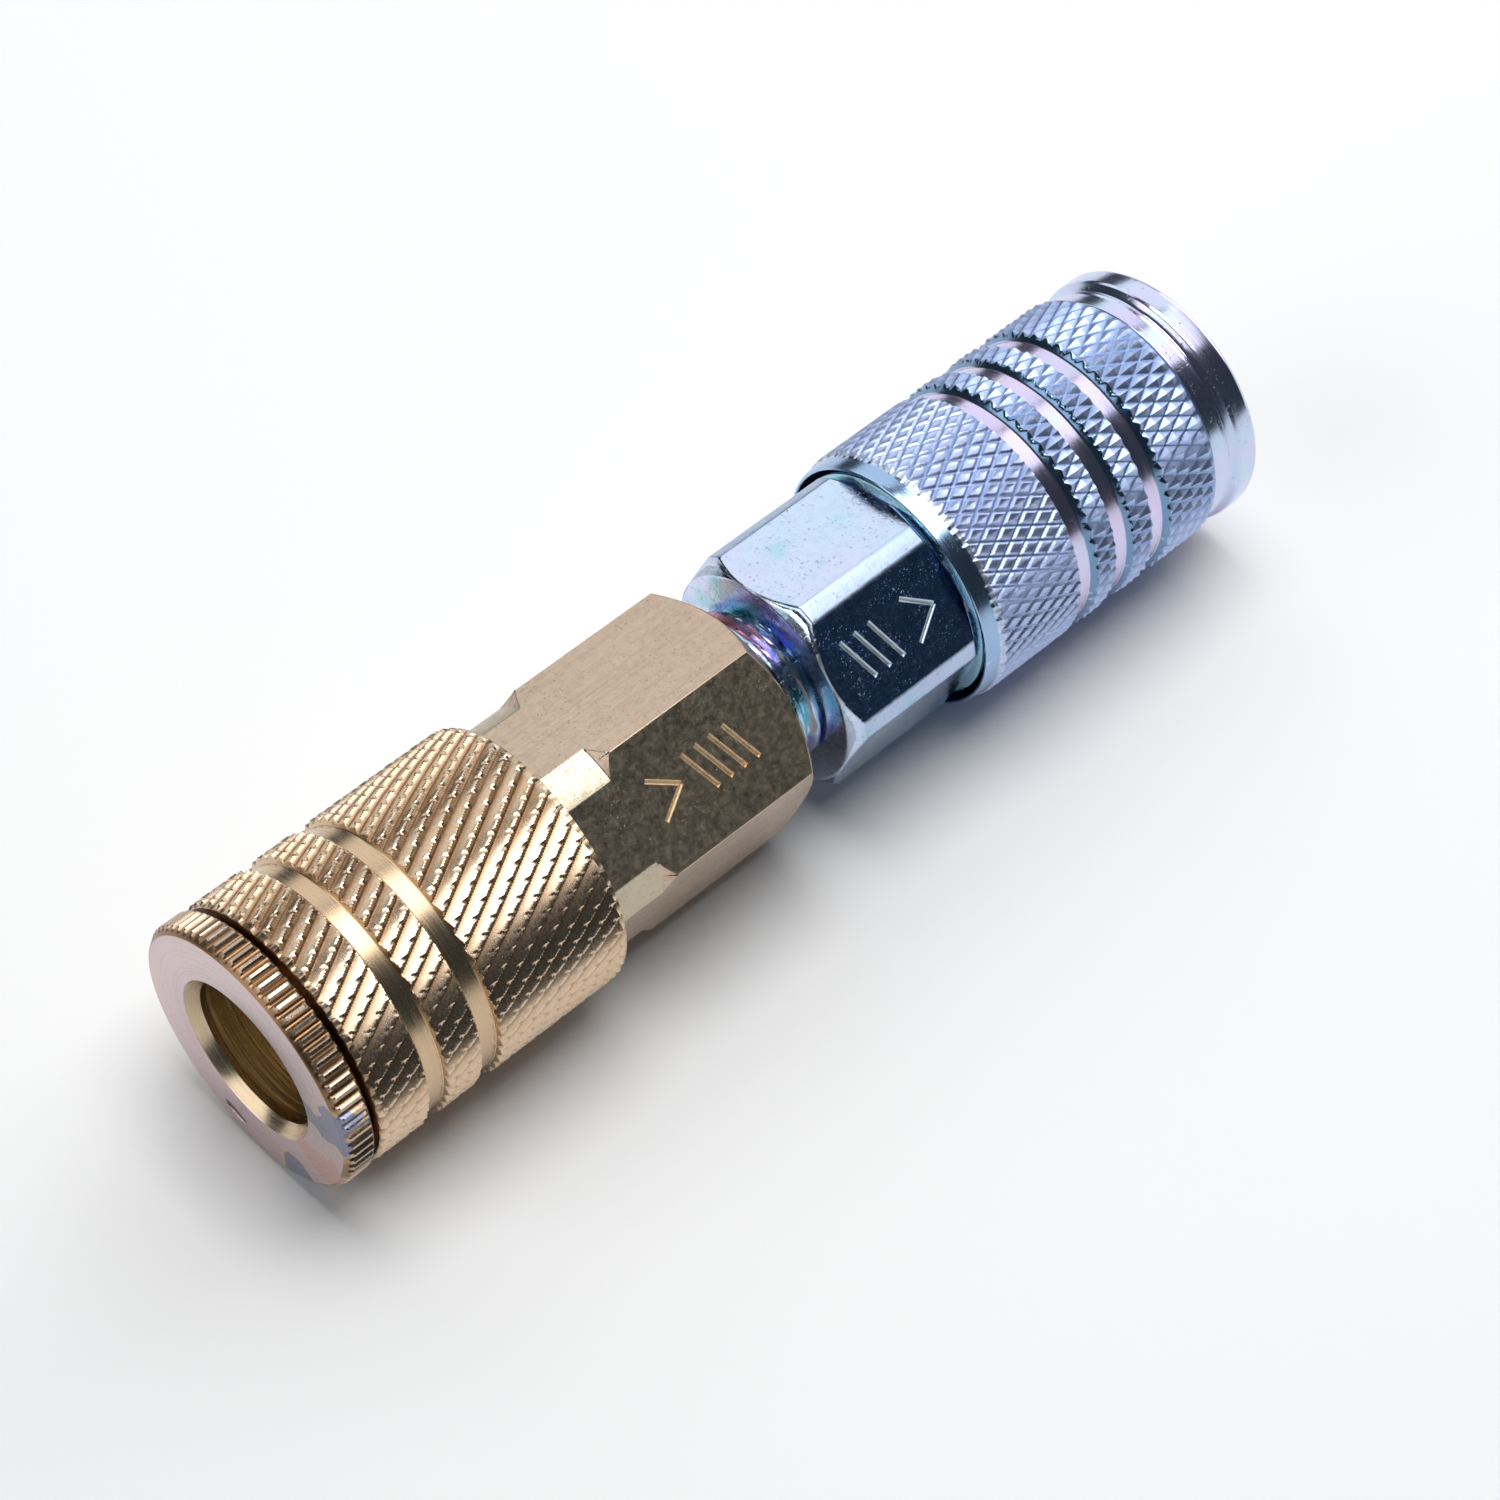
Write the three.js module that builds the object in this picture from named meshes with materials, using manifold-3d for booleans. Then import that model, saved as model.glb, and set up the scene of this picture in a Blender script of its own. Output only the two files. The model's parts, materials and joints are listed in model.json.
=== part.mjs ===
// Pair of quick disconnect couplers, one brass and one plated steel, screwed together by a 1/4 inch
// taper pipe thread. Millimetres, +Z up. The common axis is X: the brass coupler's mouth faces -X,
// the steel coupler's mouth faces +X, and the origin is the middle of the whole length.
//
// Each coupler is drawn in its own frame first: its axis is +X and x = 0 is the plane where the two
// couplers meet, so x grows towards the mouth that takes the plug.

import * as THREE from 'three';
import { mergeVertices } from 'three/addons/utils/BufferGeometryUtils.js';
import Module from 'manifold-3d';

const wasm = await Module();
wasm.setup();

// ---------- driving sizes ----------

// Clearances
const turnedFit = 0.15;       // radial, between turned pieces that fit inside each other
const slideFit = 0.25;        // radial, between a sliding piece and what it slides on
const skirtFit = 0.2;         // radial, between the sleeve and the rear body inside it
const endGap = 0.3;           // axial, between pieces that stand end to end
const bondGap = 0.1;          // axial, between the valve and its bonded seal

// Plug socket
const plugBore = 6.3;         // radius that guides the plug
const mouthFlare = 0.8;       // how far the mouth opens beyond the bore
const mouthDepth = 0.9;
const mouthLand = 0.6;        // from the mouth's flare to where the barrel ends
const throatRadius = 4.8;     // takes the plug's tip
const throatLength = 3.9;
const barrelWall = 2.1;
const spigotStep = 0.55;      // the barrel is thinner where the nose and the stop ring go on

// Locking balls
const ballCount = 6;
const ballRadius = 1.6;
const ballIntrusion = 0.9;    // how far a ball stands into the plug bore
const ballTravel = 0.95;
const ballHoleFit = 0.25;
const landFit = 0.2;          // between a ball at rest and the sleeve's holding land
const landLead = 0.2;         // how far the land reaches past the middle of a ball
const ballSetback = 0.7;      // from the end of the release ramp to the sleeve's front
const landTail = 2.5;         // land behind the balls, back to the shoulder that takes the washer
const throatTail = 2.75;      // barrel bore behind the ball holes, back to the throat's cone

// Sleeve and its spring
const sleeveTravel = 4.0;
const sleeveWire = 1.1;
const sleeveTurns = 5;
const springRoom = 0.35;      // radial room inside and outside the spring
const washerThickness = 0.8;
const stopRingThickness = 0.5;
const stopRingWidth = 2.35;
const grooveDepth = 0.6;
const grooveWidth = 2.0;
const grooveBevel = 0.3;

// Valve
const valveBore = 6.2;
const seatRadius = 3.9;
const seatThickness = 1.5;
const sealThickness = 2.1;
const sealBore = 4.5;
const sealGroove = 6.0;
const sealRoom = 0.25;        // at each side of the plug seal in its groove
const valveReach = 1.7;       // how far the valve's nose stands past its seat
const noseBevel = 0.5;
const valveTravel = 3.0;
const valveHead = 5.2;
const valveHeadThickness = 1.4;
const valveSealThickness = 1.4;
const valveNose = 2.6;
const valveTail = 2.0;
const tailReach = 1.0;        // how far the valve's tail stands behind the barrel
const valveWire = 0.7;
const valveTurns = 5;
const guideThickness = 1.2;
const guideHoles = 4;
const guideHoleRadius = 1.0;
const chamberLength = 14.0;   // from the barrel's rear end to the valve seat

// Pipe thread and hexagons
const threadRadius = 6.85;
const threadEngaged = 9.5;
const threadExposed = 3.8;
const threadRunout = 0.5;
const threadLead = 0.6;
const passageRadius = 4.6;
const hexWall = 0.8;          // thinnest wall, at the middle of a flat
const oRingWire = 1.0;

// How many flats stand for a full turn
const outerSides = 32;
const innerSides = 24;
const wireSides = 5;
const stepsPerTurn = 12;
const sealSides = 6;
const holeSides = 14;

// Brass coupler
const brass = {
  prefix: 'brass',
  hexTurn: -18,               // degrees, where a corner of the hexagon points, from +Z
  hexFace: 0,
  faceChamfer: 1.2,
  hexLength: 15.25,
  cornerTurned: 0,
  coneLength: 1.05,
  sleeveStandOff: 0.7,        // left between the sleeve and the hexagon at full travel
  sleeveLength: 24.3,
  sleeveWall: 1.25,
  skirtLength: 7.7,
  grooves: [10.65, 5.5],      // middles of the sleeve's grooves, back from its front
  noseGap: 0.6,
  noseLength: 2.7,
  noseChamfer: 0.45,
  rearBevel: 0.15,
};

// Steel coupler
const steel = {
  prefix: 'steel',
  hexTurn: 20,
  hexFace: threadExposed,
  faceChamfer: 1.2,
  hexLength: 13.95,
  cornerTurned: 0.42,         // how much is turned off the hexagon's corners
  rearChamfer: 0.85,
  faceInset: 0.1,             // the front face is this much smaller than the flats' inscribed circle
  sleeveOverlap: 0.2,         // how far the sleeve covers the hexagon's end at rest
  sleeveLength: 26.45,
  sleeveWall: 1.15,
  rimWall: 0.2,
  rimLength: 1.85,
  skirtLength: 4.75,
  collarStep: 0.1,            // the skirt behind the hexagon is this much below its flats
  grooves: [15.0, 10.8, 6.6],
  noseGap: 0.3,
  noseLength: 4.6,
  noseChamfer: 0.4,
  rimInset: 0.1,
  neckInset: 0.5,
  neckLength: 1.3,
  neckFlare: 1.2,
};

// ---------- sizes that follow ----------

const barrelBore = plugBore + turnedFit;
const barrelRadius = barrelBore + barrelWall;
const counterbore = barrelRadius + turnedFit;
const hexInner = counterbore + hexWall;               // half the size across flats
const hexCorner = hexInner / Math.cos(Math.PI / 6);
const ballInward = plugBore - ballIntrusion + ballRadius;
const landRadius = Math.max(ballInward + ballRadius + landFit, barrelRadius + slideFit);
const ballRest = landRadius - landFit - ballRadius;   // the middle of a ball held in by the land
const rampRadius = landRadius + ballTravel;
const sleeveBore = barrelRadius + springRoom + sleeveWire + springRoom;
const skirtRadius = sleeveBore - skirtFit;
const spigotRadius = barrelRadius - spigotStep;

// ---------- helpers ----------

// Returns a closed geometry with shared vertices and its faces pointing outwards.
function closed(geometry) {
  const bare = geometry.index ? geometry : mergeVertices(geometry);
  bare.deleteAttribute('normal');
  bare.deleteAttribute('uv');
  const merged = mergeVertices(bare, 1e-4);
  const position = merged.getAttribute('position');
  const corner = [new THREE.Vector3(), new THREE.Vector3(), new THREE.Vector3()];
  const kept = [];
  let volume = 0;
  for (let i = 0; i < merged.index.count; i += 3) {
    const ids = [0, 1, 2].map((k) => merged.index.getX(i + k));
    if (ids[0] === ids[1] || ids[1] === ids[2] || ids[2] === ids[0]) continue;
    ids.forEach((id, k) => corner[k].fromBufferAttribute(position, id));
    volume += corner[0].dot(corner[1].clone().cross(corner[2]));
    kept.push(...ids);
  }
  if (volume < 0) kept.reverse();
  merged.setIndex(kept);
  return merged;
}

// A turned solid about X. The profile is a list of [radius, x] pairs.
function turned(profile, sides, ring = true) {
  const points = profile.map(([radius, x]) => new THREE.Vector2(radius, x));
  if (ring) points.push(points[0].clone());
  const phase = Math.PI / sides;
  const lathe = new THREE.LatheGeometry(points, sides, phase, 2 * Math.PI);
  lathe.rotateZ(-Math.PI / 2);
  return closed(lathe);
}

function ringOf(inner, outer, from, to, sides = innerSides) {
  return turned([[inner, from], [outer, from], [outer, to], [inner, to]], sides);
}

// A hexagonal bar about X with one corner turned from +Z by the given angle.
function hexBar(halfFlats, from, to, cornerDegrees) {
  const corner = halfFlats / Math.cos(Math.PI / 6);
  const bar = new THREE.CylinderGeometry(corner, corner, to - from, 6);
  bar.rotateZ(-Math.PI / 2);
  bar.rotateX(THREE.MathUtils.degToRad(cornerDegrees));
  bar.translate((from + to) / 2, 0, 0);
  return closed(bar);
}

function toSolid(geometry) {
  const vertProperties = new Float32Array(geometry.getAttribute('position').array);
  const triVerts = new Uint32Array(geometry.index.array);
  return new wasm.Manifold(new wasm.Mesh({ numProp: 3, vertProperties, triVerts }));
}

function toGeometry(solid) {
  const mesh = solid.getMesh();
  const geometry = new THREE.BufferGeometry();
  geometry.setAttribute('position', new THREE.BufferAttribute(mesh.vertProperties, 3));
  geometry.setIndex(new THREE.BufferAttribute(mesh.triVerts, 1));
  return geometry;
}

// A coil about X, its wire's middle running from one x to the other.
class Coil extends THREE.Curve {
  constructor(radius, from, to, turns) {
    super();
    Object.assign(this, { radius, from, to, turns });
  }

  getPoint(t, target = new THREE.Vector3()) {
    const angle = 2 * Math.PI * this.turns * t;
    const x = this.from + (this.to - this.from) * t;
    return target.set(x, this.radius * Math.cos(angle), this.radius * Math.sin(angle));
  }
}

function coilSpring(radius, wire, from, to, turns) {
  const section = new THREE.Shape();
  for (let i = 0; i < wireSides; i += 1) {
    const angle = (2 * Math.PI * i) / wireSides;
    const x = (wire / 2) * Math.cos(angle);
    const y = (wire / 2) * Math.sin(angle);
    if (i === 0) section.moveTo(x, y);
    else section.lineTo(x, y);
  }
  section.closePath();
  const path = new Coil(radius, from + wire / 2, to - wire / 2, turns);
  const steps = turns * stepsPerTurn;
  return closed(new THREE.ExtrudeGeometry(section, { steps, extrudePath: path, bevelEnabled: false }));
}

// ---------- materials ----------

function finish(color, roughness, metalness) {
  return new THREE.MeshStandardMaterial({ color, roughness, metalness });
}

const brassFinish = finish(0xc2a684, 0.32, 1);
const zincFinish = finish(0xaebfda, 0.25, 1);
const steelFinish = finish(0xb5b8bd, 0.2, 1);
const springFinish = finish(0x8d9096, 0.3, 1);
const copperFinish = finish(0xb8793f, 0.3, 1);
const rubberFinish = finish(0x1b1b1c, 0.75, 0);

// ---------- pieces of one coupler ----------

// Where things stand along one coupler's axis.
function layout(c) {
  const hexEnd = c.hexFace + c.hexLength;
  const coneEnd = hexEnd + (c.coneLength ?? 0);
  const sleeveRear = c.sleeveOverlap ? hexEnd - c.sleeveOverlap : coneEnd + sleeveTravel + c.sleeveStandOff;
  const sleeveFront = sleeveRear + c.sleeveLength;
  const skirtFront = coneEnd + c.skirtLength;
  const ballX = sleeveFront - sleeveTravel - ballSetback;
  const shoulder = ballX - ballRadius - landTail;
  const noseRear = sleeveFront + c.noseGap;
  const noseFace = noseRear + c.noseLength;
  const throatFront = ballX - ballRadius - ballHoleFit - throatTail;
  const throatRear = throatFront - throatLength;
  const grooveRear = throatRear - sealThickness - 2 * sealRoom;
  const seatRear = grooveRear - seatThickness;
  const barrelRear = seatRear - chamberLength;
  return {
    hexEnd, coneEnd, sleeveRear, sleeveFront, skirtFront, ballX, shoulder, noseRear, noseFace,
    throatFront, throatRear, grooveRear, seatRear, barrelRear,
    sleeveRadius: sleeveBore + c.sleeveWall,
    counterboreFloor: barrelRear - endGap - oRingWire - endGap,
    barrelFront: noseFace - mouthDepth - mouthLand,
    stopRear: sleeveFront + endGap,
    stopFront: sleeveFront + endGap + stopRingThickness,
    corner: hexCorner - c.cornerTurned,
  };
}

// Brass: chamfered hexagon, its corners turned away under the sleeve, with the pipe thread's bore.
function brassRearBody(c, at) {
  const bar = toSolid(hexBar(hexInner, c.hexFace, at.skirtFront, c.hexTurn));
  const spare = 0.3;
  const slope = c.faceChamfer / (hexCorner - hexInner);
  const reach = hexCorner + spare;
  const coneSlope = c.coneLength / (hexCorner - skirtRadius);
  const envelope = turned([
    [0, 0],
    [hexInner, 0],
    [reach, slope * (reach - hexInner)],
    [reach, at.hexEnd - coneSlope * spare],
    [skirtRadius, at.coneEnd],
    [skirtRadius, at.skirtFront],
    [0, at.skirtFront],
  ], outerSides, false);
  const threadDepth = threadEngaged + threadRunout;
  const passage = turned([
    [0, -1],
    [threadRadius + turnedFit, -1],
    [threadRadius + turnedFit, threadDepth],
    [passageRadius, threadDepth],
    [passageRadius, at.counterboreFloor],
    [counterbore, at.counterboreFloor],
    [counterbore, at.skirtFront + 1],
    [0, at.skirtFront + 1],
  ], innerSides, false);
  return toGeometry(bar.intersect(toSolid(envelope)).subtract(toSolid(passage)));
}

// Steel: the pipe thread's spigot, then a hexagon chamfered at both ends and turned at its corners.
function steelRearBody(c, at) {
  const reach = at.corner;
  const collar = hexInner - c.collarStep;
  const bar = toSolid(hexBar(hexInner, c.hexFace, at.hexEnd, c.hexTurn));
  const envelope = turned([
    [0, c.hexFace - 1],
    [hexInner - c.faceInset, c.hexFace - 1],
    [hexInner - c.faceInset, c.hexFace],
    [reach, c.hexFace + c.faceChamfer],
    [reach, at.hexEnd - c.rearChamfer],
    [hexInner, at.hexEnd],
    [hexInner, at.hexEnd + 1],
    [0, at.hexEnd + 1],
  ], outerSides, false);
  const spigot = turned([
    [0, -threadEngaged],
    [threadRadius - threadLead, -threadEngaged],
    [threadRadius, -threadEngaged + threadLead],
    [threadRadius, c.hexFace + 1],
    [0, c.hexFace + 1],
  ], innerSides, false);
  const skirt = turned([
    [0, at.hexEnd - 1],
    [collar, at.hexEnd - 1],
    [collar, at.skirtFront],
    [0, at.skirtFront],
  ], outerSides, false);
  const passage = turned([
    [0, -threadEngaged - 1],
    [passageRadius, -threadEngaged - 1],
    [passageRadius, at.counterboreFloor],
    [counterbore, at.counterboreFloor],
    [counterbore, at.skirtFront + 1],
    [0, at.skirtFront + 1],
  ], innerSides, false);
  const outside = bar.intersect(toSolid(envelope)).add(toSolid(spigot)).add(toSolid(skirt));
  return toGeometry(outside.subtract(toSolid(passage)));
}

// The barrel guides the plug, holds the balls and the plug's seal, and carries the valve seat.
function barrel(at) {
  const tube = turned([
    [valveBore, at.barrelRear],
    [barrelRadius, at.barrelRear],
    [barrelRadius, at.stopRear - turnedFit],
    [spigotRadius, at.stopRear - turnedFit],
    [spigotRadius, at.barrelFront],
    [barrelBore, at.barrelFront],
    [barrelBore, at.throatFront + (barrelBore - throatRadius)],
    [throatRadius, at.throatFront],
    [throatRadius, at.throatRear],
    [sealGroove, at.throatRear],
    [sealGroove, at.grooveRear],
    [seatRadius, at.grooveRear],
    [seatRadius, at.seatRear],
    [valveBore, at.seatRear],
  ], innerSides);
  const holeRadius = ballRadius + ballHoleFit;
  let solid = toSolid(tube);
  for (let i = 0; i < ballCount; i += 1) {
    const hole = new THREE.CylinderGeometry(holeRadius, holeRadius, 3 * barrelWall, holeSides);
    hole.translate(0, barrelRadius, 0);
    hole.rotateX((2 * Math.PI * i) / ballCount);
    hole.translate(at.ballX, 0, 0);
    solid = solid.subtract(toSolid(closed(hole)));
  }
  return toGeometry(solid);
}

// Sleeve outline between its two ends: straight, with a bevelled groove at each given setback.
function grooved(radius, front, setbacks) {
  const floor = radius - grooveDepth;
  const middles = setbacks.map((setback) => front - setback);
  return middles.flatMap((x) => [
    [radius, x - grooveWidth / 2],
    [floor, x - grooveWidth / 2 + grooveBevel],
    [floor, x + grooveWidth / 2 - grooveBevel],
    [radius, x + grooveWidth / 2],
  ]);
}

// The steel sleeve has a wide mouth at its rear, which passes over the hexagon's turned corners
// when the sleeve is pulled back.
function sleeve(c, at) {
  const radius = at.sleeveRadius;
  const endChamfer = 0.35;
  const rearMouth = c.rimWall ? at.corner + slideFit : sleeveBore;
  const rear = c.rimWall
    ? [[rearMouth, at.sleeveRear], [rearMouth + c.rimWall, at.sleeveRear], [radius, at.sleeveRear + c.rimLength]]
    : [[rearMouth, at.sleeveRear], [radius - endChamfer, at.sleeveRear], [radius, at.sleeveRear + endChamfer]];
  const mouthEnd = at.hexEnd + sleeveTravel + endGap;
  const mouthStep = rearMouth - sleeveBore;
  const step = c.rimWall ? [[sleeveBore, mouthEnd + mouthStep], [rearMouth, mouthEnd]] : [];
  return turned([
    ...rear,
    ...grooved(radius, at.sleeveFront, c.grooves),
    [radius, at.sleeveFront - endChamfer],
    [radius - endChamfer, at.sleeveFront],
    [rampRadius, at.sleeveFront],
    [rampRadius, at.ballX + landLead + sleeveTravel],
    [landRadius, at.ballX + landLead],
    [landRadius, at.shoulder],
    [sleeveBore, at.shoulder],
    ...step,
  ], outerSides);
}

// The nose screws onto the barrel, holds the stop ring and carries the mouth.
function nose(c, at) {
  const rim = at.sleeveRadius - (c.rimInset ?? 0);
  const recess = spigotRadius + turnedFit + stopRingWidth + turnedFit;
  const recessFloor = at.stopFront + endGap;
  const neck = c.neckInset
    ? [
      [rim - c.neckInset, at.noseRear + c.neckLength],
      [rim - c.neckInset / 3, at.noseRear + c.neckLength + c.neckFlare / 2],
      [rim, at.noseRear + c.neckLength + c.neckFlare],
    ]
    : [[rim, at.noseRear + c.rearBevel]];
  const rearEdge = rim - (c.neckInset ?? c.rearBevel);
  return turned([
    [recess, at.noseRear],
    [rearEdge, at.noseRear],
    ...neck,
    [rim, at.noseFace - c.noseChamfer],
    [rim - c.noseChamfer, at.noseFace],
    [plugBore + mouthFlare, at.noseFace],
    [plugBore, at.noseFace - mouthDepth],
    [plugBore, at.barrelFront + endGap],
    [spigotRadius + turnedFit, at.barrelFront + endGap],
    [spigotRadius + turnedFit, recessFloor],
    [recess, recessFloor],
  ], outerSides);
}

function valvePoppet(at) {
  const headFront = at.seatRear - endGap - valveSealThickness - bondGap;
  const headRear = headFront - valveHeadThickness;
  return turned([
    [0, at.barrelRear - tailReach],
    [valveTail, at.barrelRear - tailReach],
    [valveTail, headRear],
    [valveHead, headRear],
    [valveHead, headFront],
    [valveNose, headFront],
    [valveNose, at.grooveRear + valveReach - noseBevel],
    [valveNose - noseBevel, at.grooveRear + valveReach],
    [0, at.grooveRear + valveReach],
  ], innerSides, false);
}

function valveGuide(at) {
  const from = at.barrelRear + endGap;
  let solid = toSolid(ringOf(valveTail + slideFit, valveBore - slideFit, from, from + guideThickness));
  const pitch = (valveTail + valveBore) / 2;
  for (let i = 0; i < guideHoles; i += 1) {
    const hole = new THREE.CylinderGeometry(guideHoleRadius, guideHoleRadius, guideThickness + 2, holeSides);
    hole.rotateZ(Math.PI / 2);
    hole.translate(from + guideThickness / 2, 0, pitch);
    hole.rotateX((2 * Math.PI * (i + 0.5)) / guideHoles);
    solid = solid.subtract(toSolid(closed(hole)));
  }
  return toGeometry(solid);
}

function oRing(radius, wire, x) {
  const section = [];
  for (let i = 0; i < sealSides; i += 1) {
    const angle = (2 * Math.PI * (i + 0.5)) / sealSides;
    section.push([radius + (wire / 2) * Math.cos(angle), x + (wire / 2) * Math.sin(angle)]);
  }
  return turned(section, innerSides);
}

function coupler(c, rearBody, metal) {
  const at = layout(c);
  const group = new THREE.Group();
  const add = (name, geometry, material) => {
    const mesh = new THREE.Mesh(geometry, material);
    mesh.name = `${c.prefix}_${name}`;
    group.add(mesh);
    return mesh;
  };
  const headRear = at.seatRear - endGap - valveSealThickness - bondGap - valveHeadThickness;
  const guideFront = at.barrelRear + endGap + guideThickness;
  const washerRear = at.shoulder - endGap - washerThickness;

  add('rear_body', rearBody(c, at), metal);
  add('barrel', barrel(at), metal);
  add('nose_ring', nose(c, at), metal);
  add('sleeve', sleeve(c, at), metal);
  add('stop_ring', ringOf(
    spigotRadius + turnedFit,
    spigotRadius + turnedFit + stopRingWidth,
    at.stopRear,
    at.stopFront,
  ), copperFinish);
  add('spring_washer', ringOf(
    barrelRadius + slideFit,
    sleeveBore - slideFit,
    washerRear,
    at.shoulder - endGap,
  ), steelFinish);
  add('sleeve_spring', coilSpring(
    barrelRadius + springRoom + sleeveWire / 2,
    sleeveWire,
    at.skirtFront + endGap,
    washerRear - endGap,
    sleeveTurns,
  ), springFinish);
  add('body_oring', oRing(
    counterbore - oRingWire / 2 - sealRoom,
    oRingWire,
    at.barrelRear - endGap - oRingWire / 2,
  ), rubberFinish);
  add('plug_seal', ringOf(
    sealBore,
    sealGroove - turnedFit,
    at.grooveRear + sealRoom,
    at.throatRear - sealRoom,
  ), rubberFinish);
  add('valve_guide', valveGuide(at), metal);
  add('valve_poppet', valvePoppet(at), metal);
  add('valve_seal', ringOf(
    valveNose + turnedFit,
    valveHead - 0.2,
    at.seatRear - endGap - valveSealThickness,
    at.seatRear - endGap,
  ), rubberFinish);
  add('valve_spring', coilSpring(
    valveTail + springRoom + valveWire,
    valveWire,
    guideFront + endGap,
    headRear - endGap,
    valveTurns,
  ), springFinish);
  for (let i = 0; i < ballCount; i += 1) {
    const angle = (2 * Math.PI * i) / ballCount;
    const sphere = closed(new THREE.IcosahedronGeometry(ballRadius, 1));
    const ball = add(`ball_${i + 1}`, sphere, steelFinish);
    ball.position.set(at.ballX, ballRest * Math.cos(angle), ballRest * Math.sin(angle));
  }
  return { group, length: at.noseFace };
}

// ---------- assembly ----------

const assembly = new THREE.Group();
const brassCoupler = coupler(brass, brassRearBody, brassFinish);
const steelCoupler = coupler(steel, steelRearBody, zincFinish);
const meetingPlane = (brassCoupler.length - steelCoupler.length) / 2;
brassCoupler.group.rotation.z = Math.PI;
brassCoupler.group.position.x = meetingPlane;
steelCoupler.group.position.x = meetingPlane;
assembly.add(brassCoupler.group, steelCoupler.group);

export default assembly;
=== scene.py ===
# %% [markdown]
# # A pair of quick disconnect couplers
#
# Two female couplers are screwed together by a pipe thread: a brass one on the left and a
# zinc-plated steel one on the right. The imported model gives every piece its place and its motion.
# This script rebuilds each piece around it with a finer surface (knurling, thread, bevels,
# stamped marks) and gives each one its metal. Sizes are in millimetres until a piece is placed.

# %% Load the frame
import bpy
import bmesh
import json
import math
from collections import namedtuple
from mathutils import Matrix, Vector

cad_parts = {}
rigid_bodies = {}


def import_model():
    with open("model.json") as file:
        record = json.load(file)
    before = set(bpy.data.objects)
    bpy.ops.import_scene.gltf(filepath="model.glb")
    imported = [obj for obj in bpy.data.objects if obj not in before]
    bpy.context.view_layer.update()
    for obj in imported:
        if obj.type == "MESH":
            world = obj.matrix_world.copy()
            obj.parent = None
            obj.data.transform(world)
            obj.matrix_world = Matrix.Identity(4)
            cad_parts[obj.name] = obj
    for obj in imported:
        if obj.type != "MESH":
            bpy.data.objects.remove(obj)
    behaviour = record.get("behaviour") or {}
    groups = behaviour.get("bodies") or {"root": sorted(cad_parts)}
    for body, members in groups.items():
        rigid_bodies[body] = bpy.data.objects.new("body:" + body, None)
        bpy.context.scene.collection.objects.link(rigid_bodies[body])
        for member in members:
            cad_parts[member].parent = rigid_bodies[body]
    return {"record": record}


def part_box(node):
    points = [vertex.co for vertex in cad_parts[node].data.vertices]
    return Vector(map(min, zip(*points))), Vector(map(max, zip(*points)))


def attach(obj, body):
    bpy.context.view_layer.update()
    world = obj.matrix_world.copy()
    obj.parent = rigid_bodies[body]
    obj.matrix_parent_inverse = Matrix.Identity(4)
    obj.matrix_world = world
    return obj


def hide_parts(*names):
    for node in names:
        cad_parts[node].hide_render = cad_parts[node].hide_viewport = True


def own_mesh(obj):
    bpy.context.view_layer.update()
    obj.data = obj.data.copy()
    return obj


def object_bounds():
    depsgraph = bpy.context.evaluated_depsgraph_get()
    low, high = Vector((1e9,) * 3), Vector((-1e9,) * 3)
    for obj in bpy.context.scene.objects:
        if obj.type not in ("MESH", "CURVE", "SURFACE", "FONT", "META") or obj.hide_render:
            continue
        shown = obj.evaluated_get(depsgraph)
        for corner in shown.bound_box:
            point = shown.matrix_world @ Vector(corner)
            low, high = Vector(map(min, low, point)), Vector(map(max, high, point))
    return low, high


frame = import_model()
cad_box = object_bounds()
MM = 0.001
CAD_SIDES = 32
FULL_TURN = 2 * math.pi

# %% [markdown]
# ## The camera
#
# The camera stands in front of the brass coupler's mouth and well above it, so the axis of the
# pair climbs to the upper right and shortens with distance. A long lens keeps that shortening
# small. The camera comes first, because every later choice is judged through it.

# %% Camera
view_azimuth = math.radians(-43.6)
view_elevation = math.radians(51.6)
view_distance = 329.8
lens_on_36mm = 101.5
aim_x = -0.95
aim_left = 2.32
aim_down = 3.10

right = Vector((math.cos(view_azimuth), math.sin(view_azimuth), 0))
towards_camera = Vector((
    math.sin(view_azimuth) * math.cos(view_elevation),
    -math.cos(view_azimuth) * math.cos(view_elevation),
    math.sin(view_elevation),
))
up = towards_camera.cross(right)
aim = Vector((aim_x, 0, 0)) + right * aim_left - up * aim_down
eye = (aim + towards_camera * view_distance) * MM
camera_data = bpy.data.cameras.new("camera")
camera_data.lens = lens_on_36mm
camera_data.sensor_width = 36
camera_data.clip_start = 0.01
camera = bpy.data.objects.new("camera", camera_data)
turn = Matrix((right, up, towards_camera)).transposed().to_4x4()
camera.matrix_world = Matrix.Translation(eye) @ turn
bpy.context.scene.collection.objects.link(camera)
bpy.context.scene.camera = camera
print("camera at", [round(v, 3) for v in eye])

# %% [markdown]
# ## Where things stand
#
# Both couplers are drawn in the same way: x is measured from the plane where they meet towards
# the mouth that takes the plug. The brass one is then turned half a turn about Z. The places of
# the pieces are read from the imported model, so nothing has to be fitted afterwards.

# %% Helpers that read the frame
meeting_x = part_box("brass_rear_body")[1].x / MM
COUPLERS = ("brass", "steel")
METAL = {"brass": "brass", "steel": "zinc_plate"}


def to_row(coupler):
    if coupler == "brass":
        return Matrix.Translation((meeting_x, 0, 0)) @ Matrix.Rotation(math.pi, 4, "Z")
    return Matrix.Translation((meeting_x, 0, 0))


def span(node):
    low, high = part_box(node)
    ends = [abs(low.x / MM - meeting_x), abs(high.x / MM - meeting_x)]
    return min(ends), max(ends)


def outer_radius(node):
    """The radius of a turned node: its box only reaches the flats between its sides."""
    low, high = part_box(node)
    return (high.z - low.z) / 2 / MM / math.cos(math.pi / CAD_SIDES)


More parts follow.
